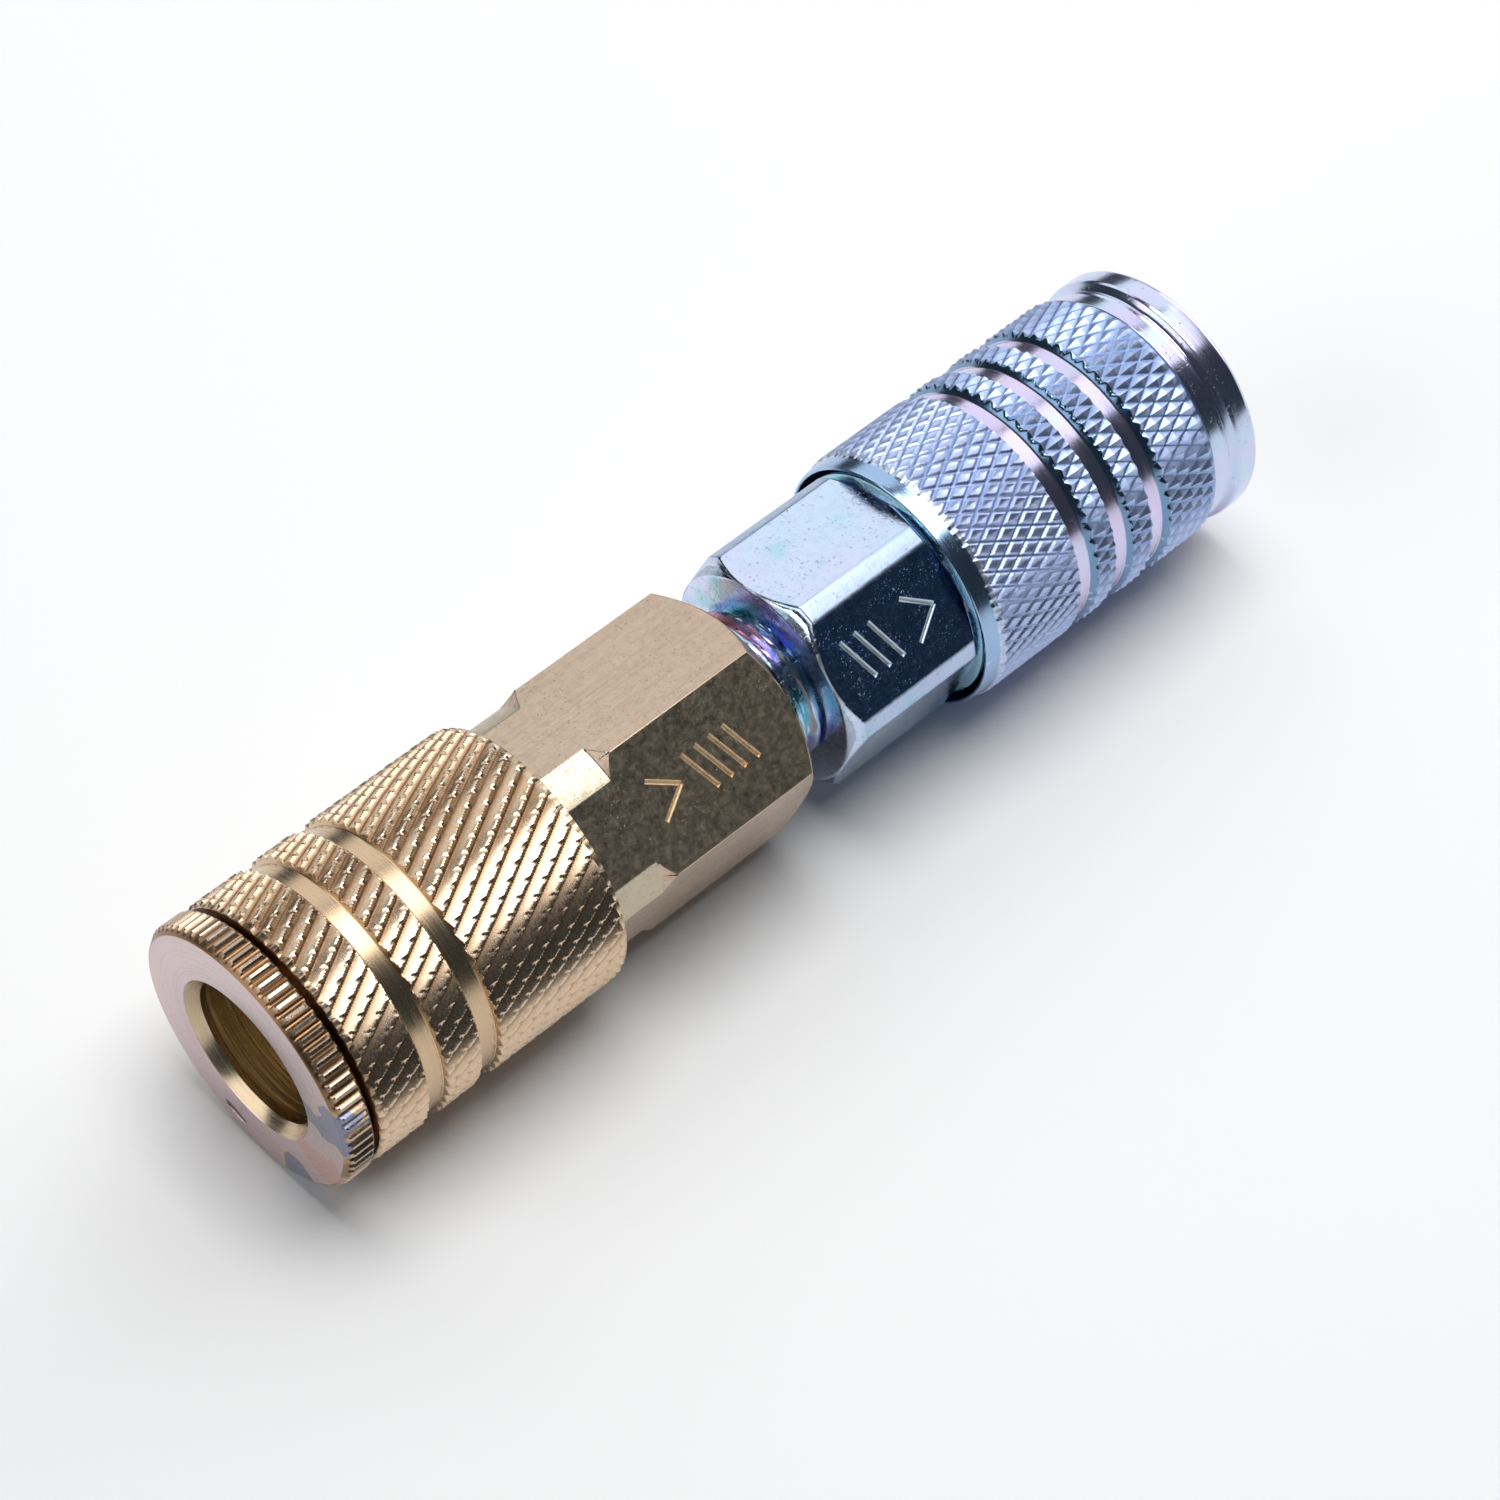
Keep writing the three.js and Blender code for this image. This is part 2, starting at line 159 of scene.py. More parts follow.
for coupler in COUPLERS:
    print(coupler, "sleeve", span(coupler + "_sleeve"), round(outer_radius(coupler + "_sleeve"), 2))

# %% [markdown]
# ## Turned pieces
#
# Almost every piece here comes off a lathe. Its outline is a chain of points, radius and x, and
# a full spin about the axis makes the solid. The spin merges its first and last copies, and
# doubles are merged where the outline touches the axis. Corners are rounded in the outline, and
# edges sharper than an angle chosen for the piece stay sharp for shading.

# %% Spin an outline
FINE_STEPS = 192
DOUBLE = 1e-4
BODY_OF = {n: b for b, ns in frame["record"]["behaviour"]["bodies"].items() for n in ns}


def plain_mesh(bm, name):
    mesh = bpy.data.meshes.new(name)
    bm.to_mesh(mesh)
    bm.free()
    return mesh


def link_object(mesh):
    obj = bpy.data.objects.new(mesh.name, mesh)
    bpy.context.scene.collection.objects.link(obj)
    return obj


def finish_mesh(bm, name, coupler, sharp_degrees=30):
    bmesh.ops.transform(bm, matrix=Matrix.Scale(MM, 4) @ to_row(coupler), verts=bm.verts)
    mesh = plain_mesh(bm, name)
    mesh.shade_smooth()
    mesh.set_sharp_from_angle(angle=math.radians(sharp_degrees))
    return link_object(mesh)


def spin_outline(outline, steps=FINE_STEPS, ring=True):
    bm = bmesh.new()
    verts = [bm.verts.new((x, 0, radius)) for radius, x in outline]
    pairs = list(zip(verts, verts[1:]))
    if ring:
        pairs.append((verts[-1], verts[0]))
    for first, second in pairs:
        bm.edges.new((first, second))
    bmesh.ops.spin(bm, geom=bm.verts[:] + bm.edges[:], cent=(0, 0, 0), axis=(1, 0, 0),
                   angle=FULL_TURN, steps=steps, use_merge=True)
    bmesh.ops.remove_doubles(bm, verts=bm.verts, dist=DOUBLE)
    bmesh.ops.recalc_face_normals(bm, faces=bm.faces)
    return bm


print("nodes with a body:", len(BODY_OF))

# %% Round the corners of an outline
NO_LENGTH = 1e-6
NEARLY_STRAIGHT = 0.03
CORNER_SHARE = 0.45


def soften(outline, size=0.08, ring=True, steps=3):
    """Rounds every corner of an outline, so that the spun solid needs no bevel."""
    points = [Vector((r, x)) for r, x in outline]
    count = len(points)
    result = []
    for i, point in enumerate(points):
        if not ring and i in (0, count - 1):
            result.append(tuple(point))
            continue
        before = points[i - 1] - point
        after = points[(i + 1) % count] - point
        if min(before.length, after.length) < NO_LENGTH:
            continue
        reach = min(size, before.length * CORNER_SHARE, after.length * CORNER_SHARE)
        start = point + before.normalized() * reach
        end = point + after.normalized() * reach
        if abs(before.normalized().dot(after.normalized()) + 1) < NEARLY_STRAIGHT:
            result.append(tuple(point))
            continue
        for k in range(steps + 1):
            t = k / steps
            bend = start * (1 - t) ** 2 + point * 2 * t * (1 - t) + end * t ** 2
            result.append(tuple(bend))
    return result


def turned_piece(name, coupler, outline, size=0.08, steps=FINE_STEPS, ring=True):
    bm = spin_outline(soften(outline, size, ring), steps, ring)
    return finish_mesh(bm, name, coupler)


def box_outline(inner, outer, near, far):
    return [(inner, near), (outer, near), (outer, far), (inner, far)]


pieces = {}


def settle(piece, node):
    """Registers a finished piece: it rides on its node's body and stands for that node."""
    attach(piece, BODY_OF[node])
    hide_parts(node)
    pieces[node] = piece


print("outline tools ready")

# %% [markdown]
# ## Knurled sleeves
#
# A knurling wheel presses two families of slanting grooves into the turned blank, and the
# diamonds are what is left between them. The blank is spun on a grid whose steps divide the
# knurl's pitch evenly, so that every groove runs along the grid's diagonals. Each vertex is then
# pushed in by the deeper of the two grooves. The bevels and plain grooves are cut after
# knurling on the real sleeve, so the lower of the two surfaces wins here as well.

# %% Knurl depth
GRID = 12
KNURLS = {
    "brass": {"teeth": 50, "lead": 2.52, "deep": 0.44, "shallow": 0.17, "shallow_width": 0.42},
    "steel": {"teeth": 52, "lead": 2.41, "deep": 0.33, "pit": 0.1},
}


def notch(position, width):
    """A symmetric V, 1 at whole positions and 0 half a width away."""
    return max(0.0, 1 - abs(position - round(position)) * 2 / width)


def saw(position, crest):
    """A lopsided V: it rises slowly from 0 at the crest to 1, then falls back at once."""
    place = position - math.floor(position)
    return 1 - place / crest if place < crest else (place - crest) / (1 - crest)


def brass_knurl(x, angle):
    style = KNURLS["brass"]
    around, along = angle * style["teeth"] / FULL_TURN, x / style["lead"]
    ridge = style["deep"] * saw(-around - along, 0.8)
    nick = style["shallow"] * notch(around - along, style["shallow_width"])
    return max(ridge, nick)


def steel_knurl(x, angle, diamonds):
    style = KNURLS["steel"]
    around, along = angle * style["teeth"] / FULL_TURN, x / style["lead"]
    if diamonds:
        return style["deep"] * max(notch(around + along, 0.95), notch(around - along, 0.95) * 0.95)
    lattice = max(0.26 * notch(around + along, 0.5), 0.24 * notch(around - along, 0.42))
    centre = min(notch(around + along + 0.5, 0.62), notch(around - along + 0.5, 0.62))
    return max(lattice, style["pit"] * min(1.0, centre * 2.2))


def band_rows(start, end, lead):
    step = lead / GRID
    first = math.ceil((start + 0.03) / step)
    last = math.floor((end - 0.03) / step)
    return [start] + [k * step for k in range(first, last + 1)] + [end]


print("knurl pitch", {c: round(FULL_TURN * 11.6 / KNURLS[c]["teeth"], 2) for c in COUPLERS})

# %% Sleeve outline
GROOVE_SETBACKS = {"brass": (10.65, 5.5), "steel": (15.0, 10.8, 6.6)}
GROOVE_DEPTH = 0.6
GROOVE_HALF = {"brass": 1.0, "steel": 1.1}
BEVEL_RUN = {"brass": (0.2, 0.28), "steel": (0.12, 0.66)}
SLEEVE_BORE = 10.35
LAND_RADIUS = 8.8
RAMP_RADIUS = 9.75
SLEEVE_TRAVEL = 4.0
MOUTH_RADIUS = 10.8
STEEL_RIM = 1.6
PRESSED_REACH = 0.7


def sleeve_outline(coupler):
    lead = KNURLS[coupler]["lead"]
    near, far = span(coupler + "_sleeve")
    radius = outer_radius(coupler + "_sleeve")
    ball_x = sum(span(coupler + "_ball_1")) / 2
    shoulder = span(coupler + "_spring_washer")[1] + 0.3
    floor = radius - GROOVE_DEPTH
    if coupler == "steel":
        rows = [(MOUTH_RADIUS, near + 0.08), (MOUTH_RADIUS + 0.06, near), (MOUTH_RADIUS + 0.2, near),
                (11.06, near + 0.06), (11.18, near + 0.5), (11.2, near + 1.25), (11.24, near + 1.4),
                (radius - 0.02, near + 1.85)]
        start = near + 1.85
    else:
        rows = [(SLEEVE_BORE + 0.1, near), (radius - 0.4, near), (radius - 0.3, near + 0.05),
                (radius - 0.02, near + 0.45)]
        start = near + 0.45
    near_run, far_run = BEVEL_RUN[coupler]
    half = GROOVE_HALF[coupler]
    for setback in GROOVE_SETBACKS[coupler]:
        middle = far - setback
        low, high = middle - half, middle + half
        rows += [(radius, x) for x in band_rows(start, low, lead)]
        rows += [(radius - GROOVE_DEPTH * t, low + near_run * t) for t in (0.25, 0.5, 0.75, 0.92)]
        rows += [(floor, low + near_run + 0.05), (floor, middle), (floor, high - far_run - 0.05)]
        rows += [(radius - GROOVE_DEPTH * t, high - far_run * t) for t in (0.92, 0.8, 0.6, 0.4, 0.2)]
        start = high
    rows += [(radius, x) for x in band_rows(start, far - 0.45, lead)]
    rows += [(radius - 0.28, far - 0.06), (radius - 0.38, far)]
    rows += [(RAMP_RADIUS + 0.1, far), (RAMP_RADIUS, far - 0.1),
             (RAMP_RADIUS, ball_x + 0.2 + SLEEVE_TRAVEL), (LAND_RADIUS, ball_x + 0.2),
             (LAND_RADIUS, shoulder + 0.1), (LAND_RADIUS + 0.1, shoulder), (SLEEVE_BORE, shoulder)]
    if coupler == "steel":
        rows += [(SLEEVE_BORE, near + 4.95), (MOUTH_RADIUS, near + 4.5)]
    else:
        rows += [(SLEEVE_BORE, near + 0.1)]
    return rows


print("rows in each outline:", [len(sleeve_outline(c)) for c in COUPLERS])

# %% Press the knurl in
def press_in(bm, radius, depth_at):
    """Moves each vertex in to the pressed surface where it stands proud of it."""
    for v in bm.verts:
        reach = math.hypot(v.co.y, v.co.z)
        if reach < radius - PRESSED_REACH:
            continue
        limit = radius - depth_at(v.co.x, math.atan2(-v.co.y, v.co.z))
        if reach > limit:
            v.co.yz = v.co.yz * (limit / reach)


def knurled_sleeve(coupler):
    near, far = span(coupler + "_sleeve")
    radius = outer_radius(coupler + "_sleeve")
    bm = spin_outline(sleeve_outline(coupler), KNURLS[coupler]["teeth"] * GRID)
    first_groove = far - GROOVE_SETBACKS[coupler][0]

    def depth_at(x, angle):
        if coupler == "brass":
            return brass_knurl(x, angle)
        return 0 if x < near + STEEL_RIM else steel_knurl(x, angle, x > first_groove)

    press_in(bm, radius, depth_at)
    print(coupler, "sleeve", len(bm.verts), "vertices")
    return finish_mesh(bm, coupler + "_sleeve_knurled", coupler, 24)


for coupler in COUPLERS:
    settle(knurled_sleeve(coupler), coupler + "_sleeve")

# %% [markdown]
# ## Cutting one solid with another
#
# A boolean gives the true edge where a drill or a cone meets another surface. The cutter is a
# plain object that is thrown away afterwards, and the result is cleaned of doubled points.

# %% Boolean helpers
def plain_object(bm, name):
    return link_object(plain_mesh(bm, name))


def bake_modifiers(target):
    depsgraph = bpy.context.evaluated_depsgraph_get()
    result = bpy.data.meshes.new_from_object(target.evaluated_get(depsgraph))
    target.modifiers.clear()
    old = target.data
    target.data = result
    bpy.data.meshes.remove(old)


def boolean(target, tool, operation):
    modifier = target.modifiers.new("cut", "BOOLEAN")
    modifier.object = tool
    modifier.operation = operation
    modifier.solver = "EXACT"
    bake_modifiers(target)
    bpy.data.objects.remove(tool)


STROKE_FLOOR = 9.95
OUTLINE_REACH = 9.3
BEVEL_ANGLE = math.radians(18)


def seal_mesh(obj, name, coupler, bevel, reach=(0, 99), marked=(0, 0)):
    """Cleans a cut solid. The bevel goes on sharp edges that lie within reach, measured along
    the axis, and skips the flats between the two marked distances, where the strokes are."""
    bm = bmesh.new()
    bm.from_mesh(obj.data)
    bpy.data.objects.remove(obj)
    bmesh.ops.remove_doubles(bm, verts=bm.verts, dist=DOUBLE)
    bmesh.ops.dissolve_degenerate(bm, edges=bm.edges, dist=DOUBLE)
    bmesh.ops.recalc_face_normals(bm, faces=bm.faces)
    weight = bm.edges.layers.float.new("bevel_weight_edge")
    for e in bm.edges:
        radii = [math.hypot(v.co.y, v.co.z) for v in e.verts]
        xs = [v.co.x for v in e.verts]
        stroke = max(radii) < STROKE_FLOOR and marked[0] < min(xs) and max(xs) < marked[1]
        outside = min(radii) > OUTLINE_REACH and reach[0] <= min(xs) and max(xs) <= reach[1]
        sharp = len(e.link_faces) == 2 and e.calc_face_angle(0) > BEVEL_ANGLE
        if bevel and outside and sharp and not stroke:
            e[weight] = 1.0
    piece = finish_mesh(bm, name, coupler, 20)
    if bevel:
        edge = piece.modifiers.new("edge", "BEVEL")
        edge.width = bevel * MM
        edge.segments = 3
        edge.limit_method = "WEIGHT"
        edge.use_clamp_overlap = False
    return piece


print("cutters ready")

# %% [markdown]
# ## Nose rings
#
# The nose closes the front of each coupler and carries the mouth, which flares so that the plug
# finds its way in. The brass one is gripped by hand to unscrew it, so its rim has straight
# knurling, and its front chamfer was turned after that. The steel one has a plain neck and a flange.

# %% Nose rings
PLUG_BORE = 6.3
MOUTH_FLARE = 0.8
MOUTH_DEPTH = 0.9
SPIGOT_FIT = 8.15
RECESS = 10.65
RIM_TEETH = 72
NICK_ANGLE = 165.2
NICK_RADIUS = 9.65
RIM_DEPTH = 0.34


def rim_depth(x, angle):
    place = angle * RIM_TEETH / FULL_TURN
    off = abs(place - round(place)) * 2
    return RIM_DEPTH * min(1.0, max(0.0, (0.66 - off) / 0.46))


def nose_tail(coupler, face):
    stop_far = span(coupler + "_stop_ring")[1]
    near = span(coupler + "_nose_ring")[0]
    barrel_far = span(coupler + "_barrel")[1]
    return [
        (PLUG_BORE + MOUTH_FLARE + 0.06, face), (PLUG_BORE + MOUTH_FLARE, face - 0.02),
        (PLUG_BORE + 0.03, face - MOUTH_DEPTH + 0.03), (PLUG_BORE, face - MOUTH_DEPTH - 0.03),
        (PLUG_BORE, barrel_far + 0.06), (SPIGOT_FIT, barrel_far + 0.06),
        (SPIGOT_FIT, stop_far + 0.3), (RECESS, stop_far + 0.3), (RECESS, near),
    ]


def brass_nose():
    near, face = span("brass_nose_ring")
    rim = outer_radius("brass_nose_ring")
    rows = [(rim - 0.3, near), (rim - 0.02, near + 0.22), (rim, near + 0.3)]
    steps = 10
    rim_end = face - 0.62
    rows += [(rim, near + 0.3 + (rim_end - near - 0.3) * k / steps) for k in range(1, steps + 1)]
    rows += [(rim - 0.1, face - 0.5), (rim - 0.22, face - 0.36), (rim - 0.34, face - 0.2),
             (rim - 0.44, face - 0.06), (rim - 0.52, face)]
    bm = spin_outline(rows + nose_tail("brass", face), RIM_TEETH * 8)
    press_in(bm, rim, rim_depth)
    blank = plain_object(bm, "nose_blank")
    nick = bmesh.new()
    turn = Matrix.Rotation(math.radians(NICK_ANGLE), 4, "X")
    lie = turn @ Matrix.Translation((face + 0.1, 0, NICK_RADIUS))
    bmesh.ops.create_icosphere(nick, subdivisions=3, radius=1,
                               matrix=lie @ Matrix.Diagonal((0.32, 1.4, 0.48, 1)))
    boolean(blank, plain_object(nick, "nick"), "DIFFERENCE")
    return seal_mesh(blank, "brass_nose_knurled", "brass", 0)


def steel_nose():
    near, face = span("steel_nose_ring")
    rim = outer_radius("steel_nose_ring")
    neck = rim - 0.55
    outline = [
        (neck - 0.1, near), (neck, near + 0.12), (neck, near + 1.35), (neck + 0.05, near + 1.5),
        (neck + 0.1, near + 1.62), (neck - 0.02, near + 1.7), (neck + 0.0, near + 1.85),
        (neck + 0.18, near + 2.1), (rim - 0.1, near + 2.35), (rim, near + 2.6), (rim, face - 0.45),
        (rim - 0.14, face - 0.16), (rim - 0.45, face),
    ]
    return turned_piece("steel_nose_flanged", "steel", outline + nose_tail("steel", face), 0.06, 256)


settle(brass_nose(), "brass_nose_ring")
settle(steel_nose(), "steel_nose_ring")
print("nose rings done")

# %% [markdown]
# ## Rear bodies
#
# Each rear body is a hexagonal bar. Turning it in the lathe leaves curved arcs where a cone cuts
# the flats, which is just what a boolean between a hexagon and a spun outline gives. Short
# strokes are then sunk into two flats as a plain flow arrow and tally marks.

# %% Bar helpers
HEX_HALF = 9.5
HEX_CORNER = HEX_HALF / math.cos(math.pi / 6)
HEX_TURN = {"brass": -18.0, "steel": 20.0}


def hex_bar(near, far, degrees):
    bm = bmesh.new()
    bmesh.ops.create_cone(bm, cap_ends=True, cap_tris=False, segments=6, radius1=HEX_CORNER,
                          radius2=HEX_CORNER, depth=far - near)
    # A corner of the new hexagon lies on +Y of the cone; it is laid along X and turned to its place.
    bmesh.ops.rotate(bm, verts=bm.verts, cent=(0, 0, 0), matrix=Matrix.Rotation(math.pi / 2, 3, "Y"))
    corner = max(bm.verts, key=lambda v: v.co.z)
    found = math.degrees(math.atan2(-corner.co.y, corner.co.z))
    turn = Matrix.Rotation(math.radians(degrees - found), 3, "X")
    bmesh.ops.rotate(bm, verts=bm.verts, cent=(0, 0, 0), matrix=turn)
    bmesh.ops.translate(bm, verts=bm.verts, vec=((near + far) / 2, 0, 0))
    return plain_object(bm, "hex_bar")


def strokes_on_flat(target, flat_degrees, strokes, width=0.34, sink=0.12):
    """Sinks round-bottomed strokes into the flat that faces flat_degrees from +Z. Each stroke is
    (x1, across1, x2, across2) on the flat."""
    turn = Matrix.Rotation(math.radians(flat_degrees), 4, "X")
    for x1, a1, x2, a2 in strokes:
        start, end = Vector((x1, a1, 0)), Vector((x2, a2, 0))
        run = end - start
        lie = run.to_track_quat("Z", "Y").to_matrix().to_4x4()
        rise = HEX_HALF + width / 2 - sink
        place = turn @ Matrix.Translation((start + end) / 2 + Vector((0, 0, rise))) @ lie
        tool_bm = bmesh.new()
        bmesh.ops.create_cone(tool_bm, cap_ends=True, segments=14, radius1=width / 2,
                              radius2=width / 2, depth=run.length, matrix=place)
        boolean(target, plain_object(tool_bm, "stroke"), "DIFFERENCE")


print("hexagon across corners:", round(2 * HEX_CORNER, 2))

# %% Brass rear body
THREAD_RADIUS = 6.85
THREAD_DEPTH = 10.0
PASSAGE = 4.6
COUNTERBORE = 8.7
SKIRT = 10.15
FACE_CHAMFER = 1.2


def rear_bore(coupler, skirt):
    floor = span(coupler + "_barrel")[0] - 1.6
    if coupler == "brass":
        mouth = [(0, -1), (THREAD_RADIUS + 0.5, -1), (THREAD_RADIUS + 0.5, 0),
                 (THREAD_RADIUS + 0.15, 0.4), (THREAD_RADIUS + 0.15, THREAD_DEPTH),
                 (PASSAGE, THREAD_DEPTH)]
    else:
        mouth = [(0, -10.5), (PASSAGE, -10.5)]
    outline = mouth + [(PASSAGE, floor), (COUNTERBORE, floor), (COUNTERBORE, skirt + 1),
                       (0, skirt + 1)]
    return plain_object(spin_outline(outline, 128, ring=False), "bore")


def brass_rear():
    skirt = span("brass_rear_body")[1]
    bar = hex_bar(0, skirt, HEX_TURN["brass"])
    rise = 0.25
    slope = FACE_CHAMFER / (HEX_CORNER - HEX_HALF)
    outline = [
        (0, 0), (HEX_HALF, 0), (HEX_CORNER + rise, slope * (HEX_CORNER + rise - HEX_HALF)),
        (HEX_CORNER + rise, 15.25 - rise), (HEX_CORNER, 15.25), (SKIRT + 0.03, 16.25),
        (SKIRT, 16.4), (SKIRT, skirt - 0.2), (SKIRT - 0.2, skirt), (0, skirt),
    ]
    envelope = plain_object(spin_outline(outline, FINE_STEPS, ring=False), "envelope")
    boolean(bar, envelope, "INTERSECT")
    boolean(bar, rear_bore("brass", skirt), "DIFFERENCE")
    # Seen from the mouth, the flat that faces the front carries the marks.
    front_flat = HEX_TURN["brass"] - 30
    chevron = [(13.9, -2.0, 11.3, -0.2), (13.9, 1.6, 11.3, -0.2)]
    tally = [(10.2 - 1.4 * k, -2.0, 8.6 - 1.4 * k, 1.8) for k in range(4)]
    strokes_on_flat(bar, front_flat, chevron + tally, 0.46, 0.16)
    return seal_mesh(bar, "brass_rear_hex", "brass", 0.06, marked=(1.5, 15))


settle(brass_rear(), "brass_rear_body")
print("brass rear body", len(pieces["brass_rear_body"].data.vertices), "vertices")

# %% [markdown]
# ## The exposed pipe thread
#
# The steel body's thread shows between the two hexagons. It is one spun tube whose radius rises
# and falls with the distance along a helix, so a single surface carries the whole thread. It
# fades out against the hexagon, where the threading tool was withdrawn.

# %% Steel rear body
THREAD_PITCH = 1.411
THREAD_HEIGHT = 0.62
THREAD_CORE = 3.5
THREAD_START = 0.093
STEEL_HEX_FACE = 3.8
STEEL_HEX_SETBACK = 4.75


def thread_bm(near, hex_face):
    rows_per_turn = 14
    step = THREAD_PITCH / rows_per_turn
    start = -2.2
    count = int((hex_face + 0.35 - start) / step)
    xs = [start + k * step for k in range(count + 1)]
    outline = [(THREAD_CORE, near), (THREAD_RADIUS - 0.9, near), (THREAD_RADIUS - 0.62, near + 0.4),
               (THREAD_RADIUS - 0.62, start - 0.3)]
    outline += [(THREAD_RADIUS, x) for x in xs]
    outline += [(THREAD_RADIUS - THREAD_HEIGHT, hex_face + 0.6), (THREAD_CORE, hex_face + 0.6)]
    bm = spin_outline(outline, 144)
    for v in bm.verts:
        reach = math.hypot(v.co.y, v.co.z)
        if reach < THREAD_RADIUS - 0.01:
            continue
        turns = v.co.x / THREAD_PITCH - math.atan2(-v.co.y, v.co.z) / FULL_TURN - THREAD_START
        off = abs(turns - round(turns)) * 2
        ridge = min(1.0, max(0.0, (0.86 - off) / 0.66))
        fade = min(1.0, max(0.0, (hex_face + 0.1 - v.co.x) / 0.45))
        limit = THREAD_RADIUS - THREAD_HEIGHT * (1 - ridge * fade)
        v.co.y *= limit / reach
        v.co.z *= limit / reach
    return bm


def steel_rear():
    near, skirt = -9.5, span("steel_rear_body")[1]
    face = STEEL_HEX_FACE
    hex_end = skirt - STEEL_HEX_SETBACK
    corner = HEX_CORNER - 0.42
    bar = hex_bar(face, hex_end, HEX_TURN["steel"])
    outline = [
        (0, face - 1), (HEX_HALF - 0.12, face - 1), (HEX_HALF - 0.12, face),
        (HEX_HALF - 0.02, face + 0.06), (corner, face + 1.15), (corner, hex_end - 0.85),
        (HEX_HALF, hex_end), (HEX_HALF, hex_end + 1), (0, hex_end + 1),
    ]
    envelope = plain_object(spin_outline(outline, FINE_STEPS, ring=False), "envelope")
    boolean(bar, envelope, "INTERSECT")
    neck = HEX_HALF - 0.1
    skirt_outline = [
        (THREAD_CORE, hex_end - 1), (neck, hex_end - 1), (neck, hex_end - 0.1), (10.0, hex_end + 0.08),
        (10.22, hex_end + 0.2), (10.3, hex_end + 0.34), (10.22, hex_end + 0.5), (10.0, hex_end + 0.62),
        (neck, hex_end + 0.7), (neck, skirt - 0.15), (HEX_HALF - 0.25, skirt), (THREAD_CORE, skirt),
    ]
    boolean(bar, plain_object(spin_outline(skirt_outline, FINE_STEPS), "skirt"), "UNION")
    front_flat = HEX_TURN["steel"] + 30
    tally = [(6.2 + 1.5 * k, 2.0, 7.8 + 1.5 * k, -2.0) for k in range(3)]
    chevron = [(12.6, -2.0, 15.2, 0.0), (12.6, 2.0, 15.2, 0.0)]
    strokes_on_flat(bar, front_flat, chevron + tally, 0.46, 0.16)
    boolean(bar, plain_object(thread_bm(near, face), "thread"), "UNION")
    boolean(bar, rear_bore("steel", skirt), "DIFFERENCE")
    return seal_mesh(bar, "steel_rear_hex", "steel", 0.13, reach=(face - 0.1, hex_end - 0.1),
                     marked=(5.3, 16.5))


settle(steel_rear(), "steel_rear_body")
print("rear bodies done", len(pieces["steel_rear_body"].data.vertices))

# %% [markdown]
# ## What is inside
#
# The barrel guides the plug and holds six balls in drilled holes. The stop ring, washer, seals,
# valve and springs are turned or wound pieces. They show through the mouth and at the joints'
# limits, and each one keeps its own finish.

# %% Barrels and balls
BARREL_RADIUS = 8.55
BARREL_BORE = 6.45
SPIGOT = 8.0
THROAT = 4.8
VALVE_BORE = 6.2
SEAT = 3.9
SEAL_GROOVE = 6.0
BALL_RADIUS = 1.6
BALL_HOLE = 1.85
BALLS = 6


def barrel_piece(coupler):
    near, far = span(coupler + "_barrel")
    stop = span(coupler + "_stop_ring")[0]
    ball_x = sum(span(coupler + "_ball_1")) / 2
    throat_far = ball_x - BALL_HOLE - 2.75
    throat_near = throat_far - 3.9
    groove = throat_near - 2.6
    seat = groove - 1.5
    outline = [
        (VALVE_BORE, near), (BARREL_RADIUS, near), (BARREL_RADIUS, stop - 0.15), (SPIGOT, stop - 0.15),
        (SPIGOT, far), (BARREL_BORE, far), (BARREL_BORE, throat_far + 1.65), (THROAT, throat_far),
        (THROAT, throat_near), (SEAL_GROOVE, throat_near), (SEAL_GROOVE, groove), (SEAT, groove),
        (SEAT, seat), (VALVE_BORE, seat),
    ]
    body = plain_object(spin_outline(soften(outline, 0.08), 144), "barrel")
    holes = bmesh.new()
    for k in range(BALLS):
        place = (Matrix.Translation((ball_x, 0, 0)) @ Matrix.Rotation(FULL_TURN * k / BALLS, 4, "X")
                 @ Matrix.Rotation(-math.pi / 2, 4, "X") @ Matrix.Translation((0, 0, 7.6)))
        bmesh.ops.create_cone(holes, cap_ends=True, segments=40, radius1=BALL_HOLE,
                              radius2=BALL_HOLE, depth=5, matrix=place)
    boolean(body, plain_object(holes, "ball_holes"), "DIFFERENCE")
    return seal_mesh(body, coupler + "_barrel_bored", coupler, 0)


def ball_piece(coupler, number):
    low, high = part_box(f"{coupler}_ball_{number}")
    middle = (low + high) / 2
    bm = bmesh.new()
    bmesh.ops.create_icosphere(bm, subdivisions=4, radius=BALL_RADIUS * MM)
    bmesh.ops.translate(bm, verts=bm.verts, vec=middle)
    mesh = plain_mesh(bm, f"{coupler}_locking_ball_{number}")
    mesh.shade_smooth()
    return link_object(mesh)


for coupler in COUPLERS:
    settle(barrel_piece(coupler), coupler + "_barrel")
    for number in range(1, BALLS + 1):
        settle(ball_piece(coupler, number), f"{coupler}_ball_{number}")
print("barrels and balls done")

# %% [markdown]
# ## Springs
#
# A coil is a round section swept along a screw line. The spin operator does that when it is
# given a shift for every step, and the two open ends are closed with a face each.

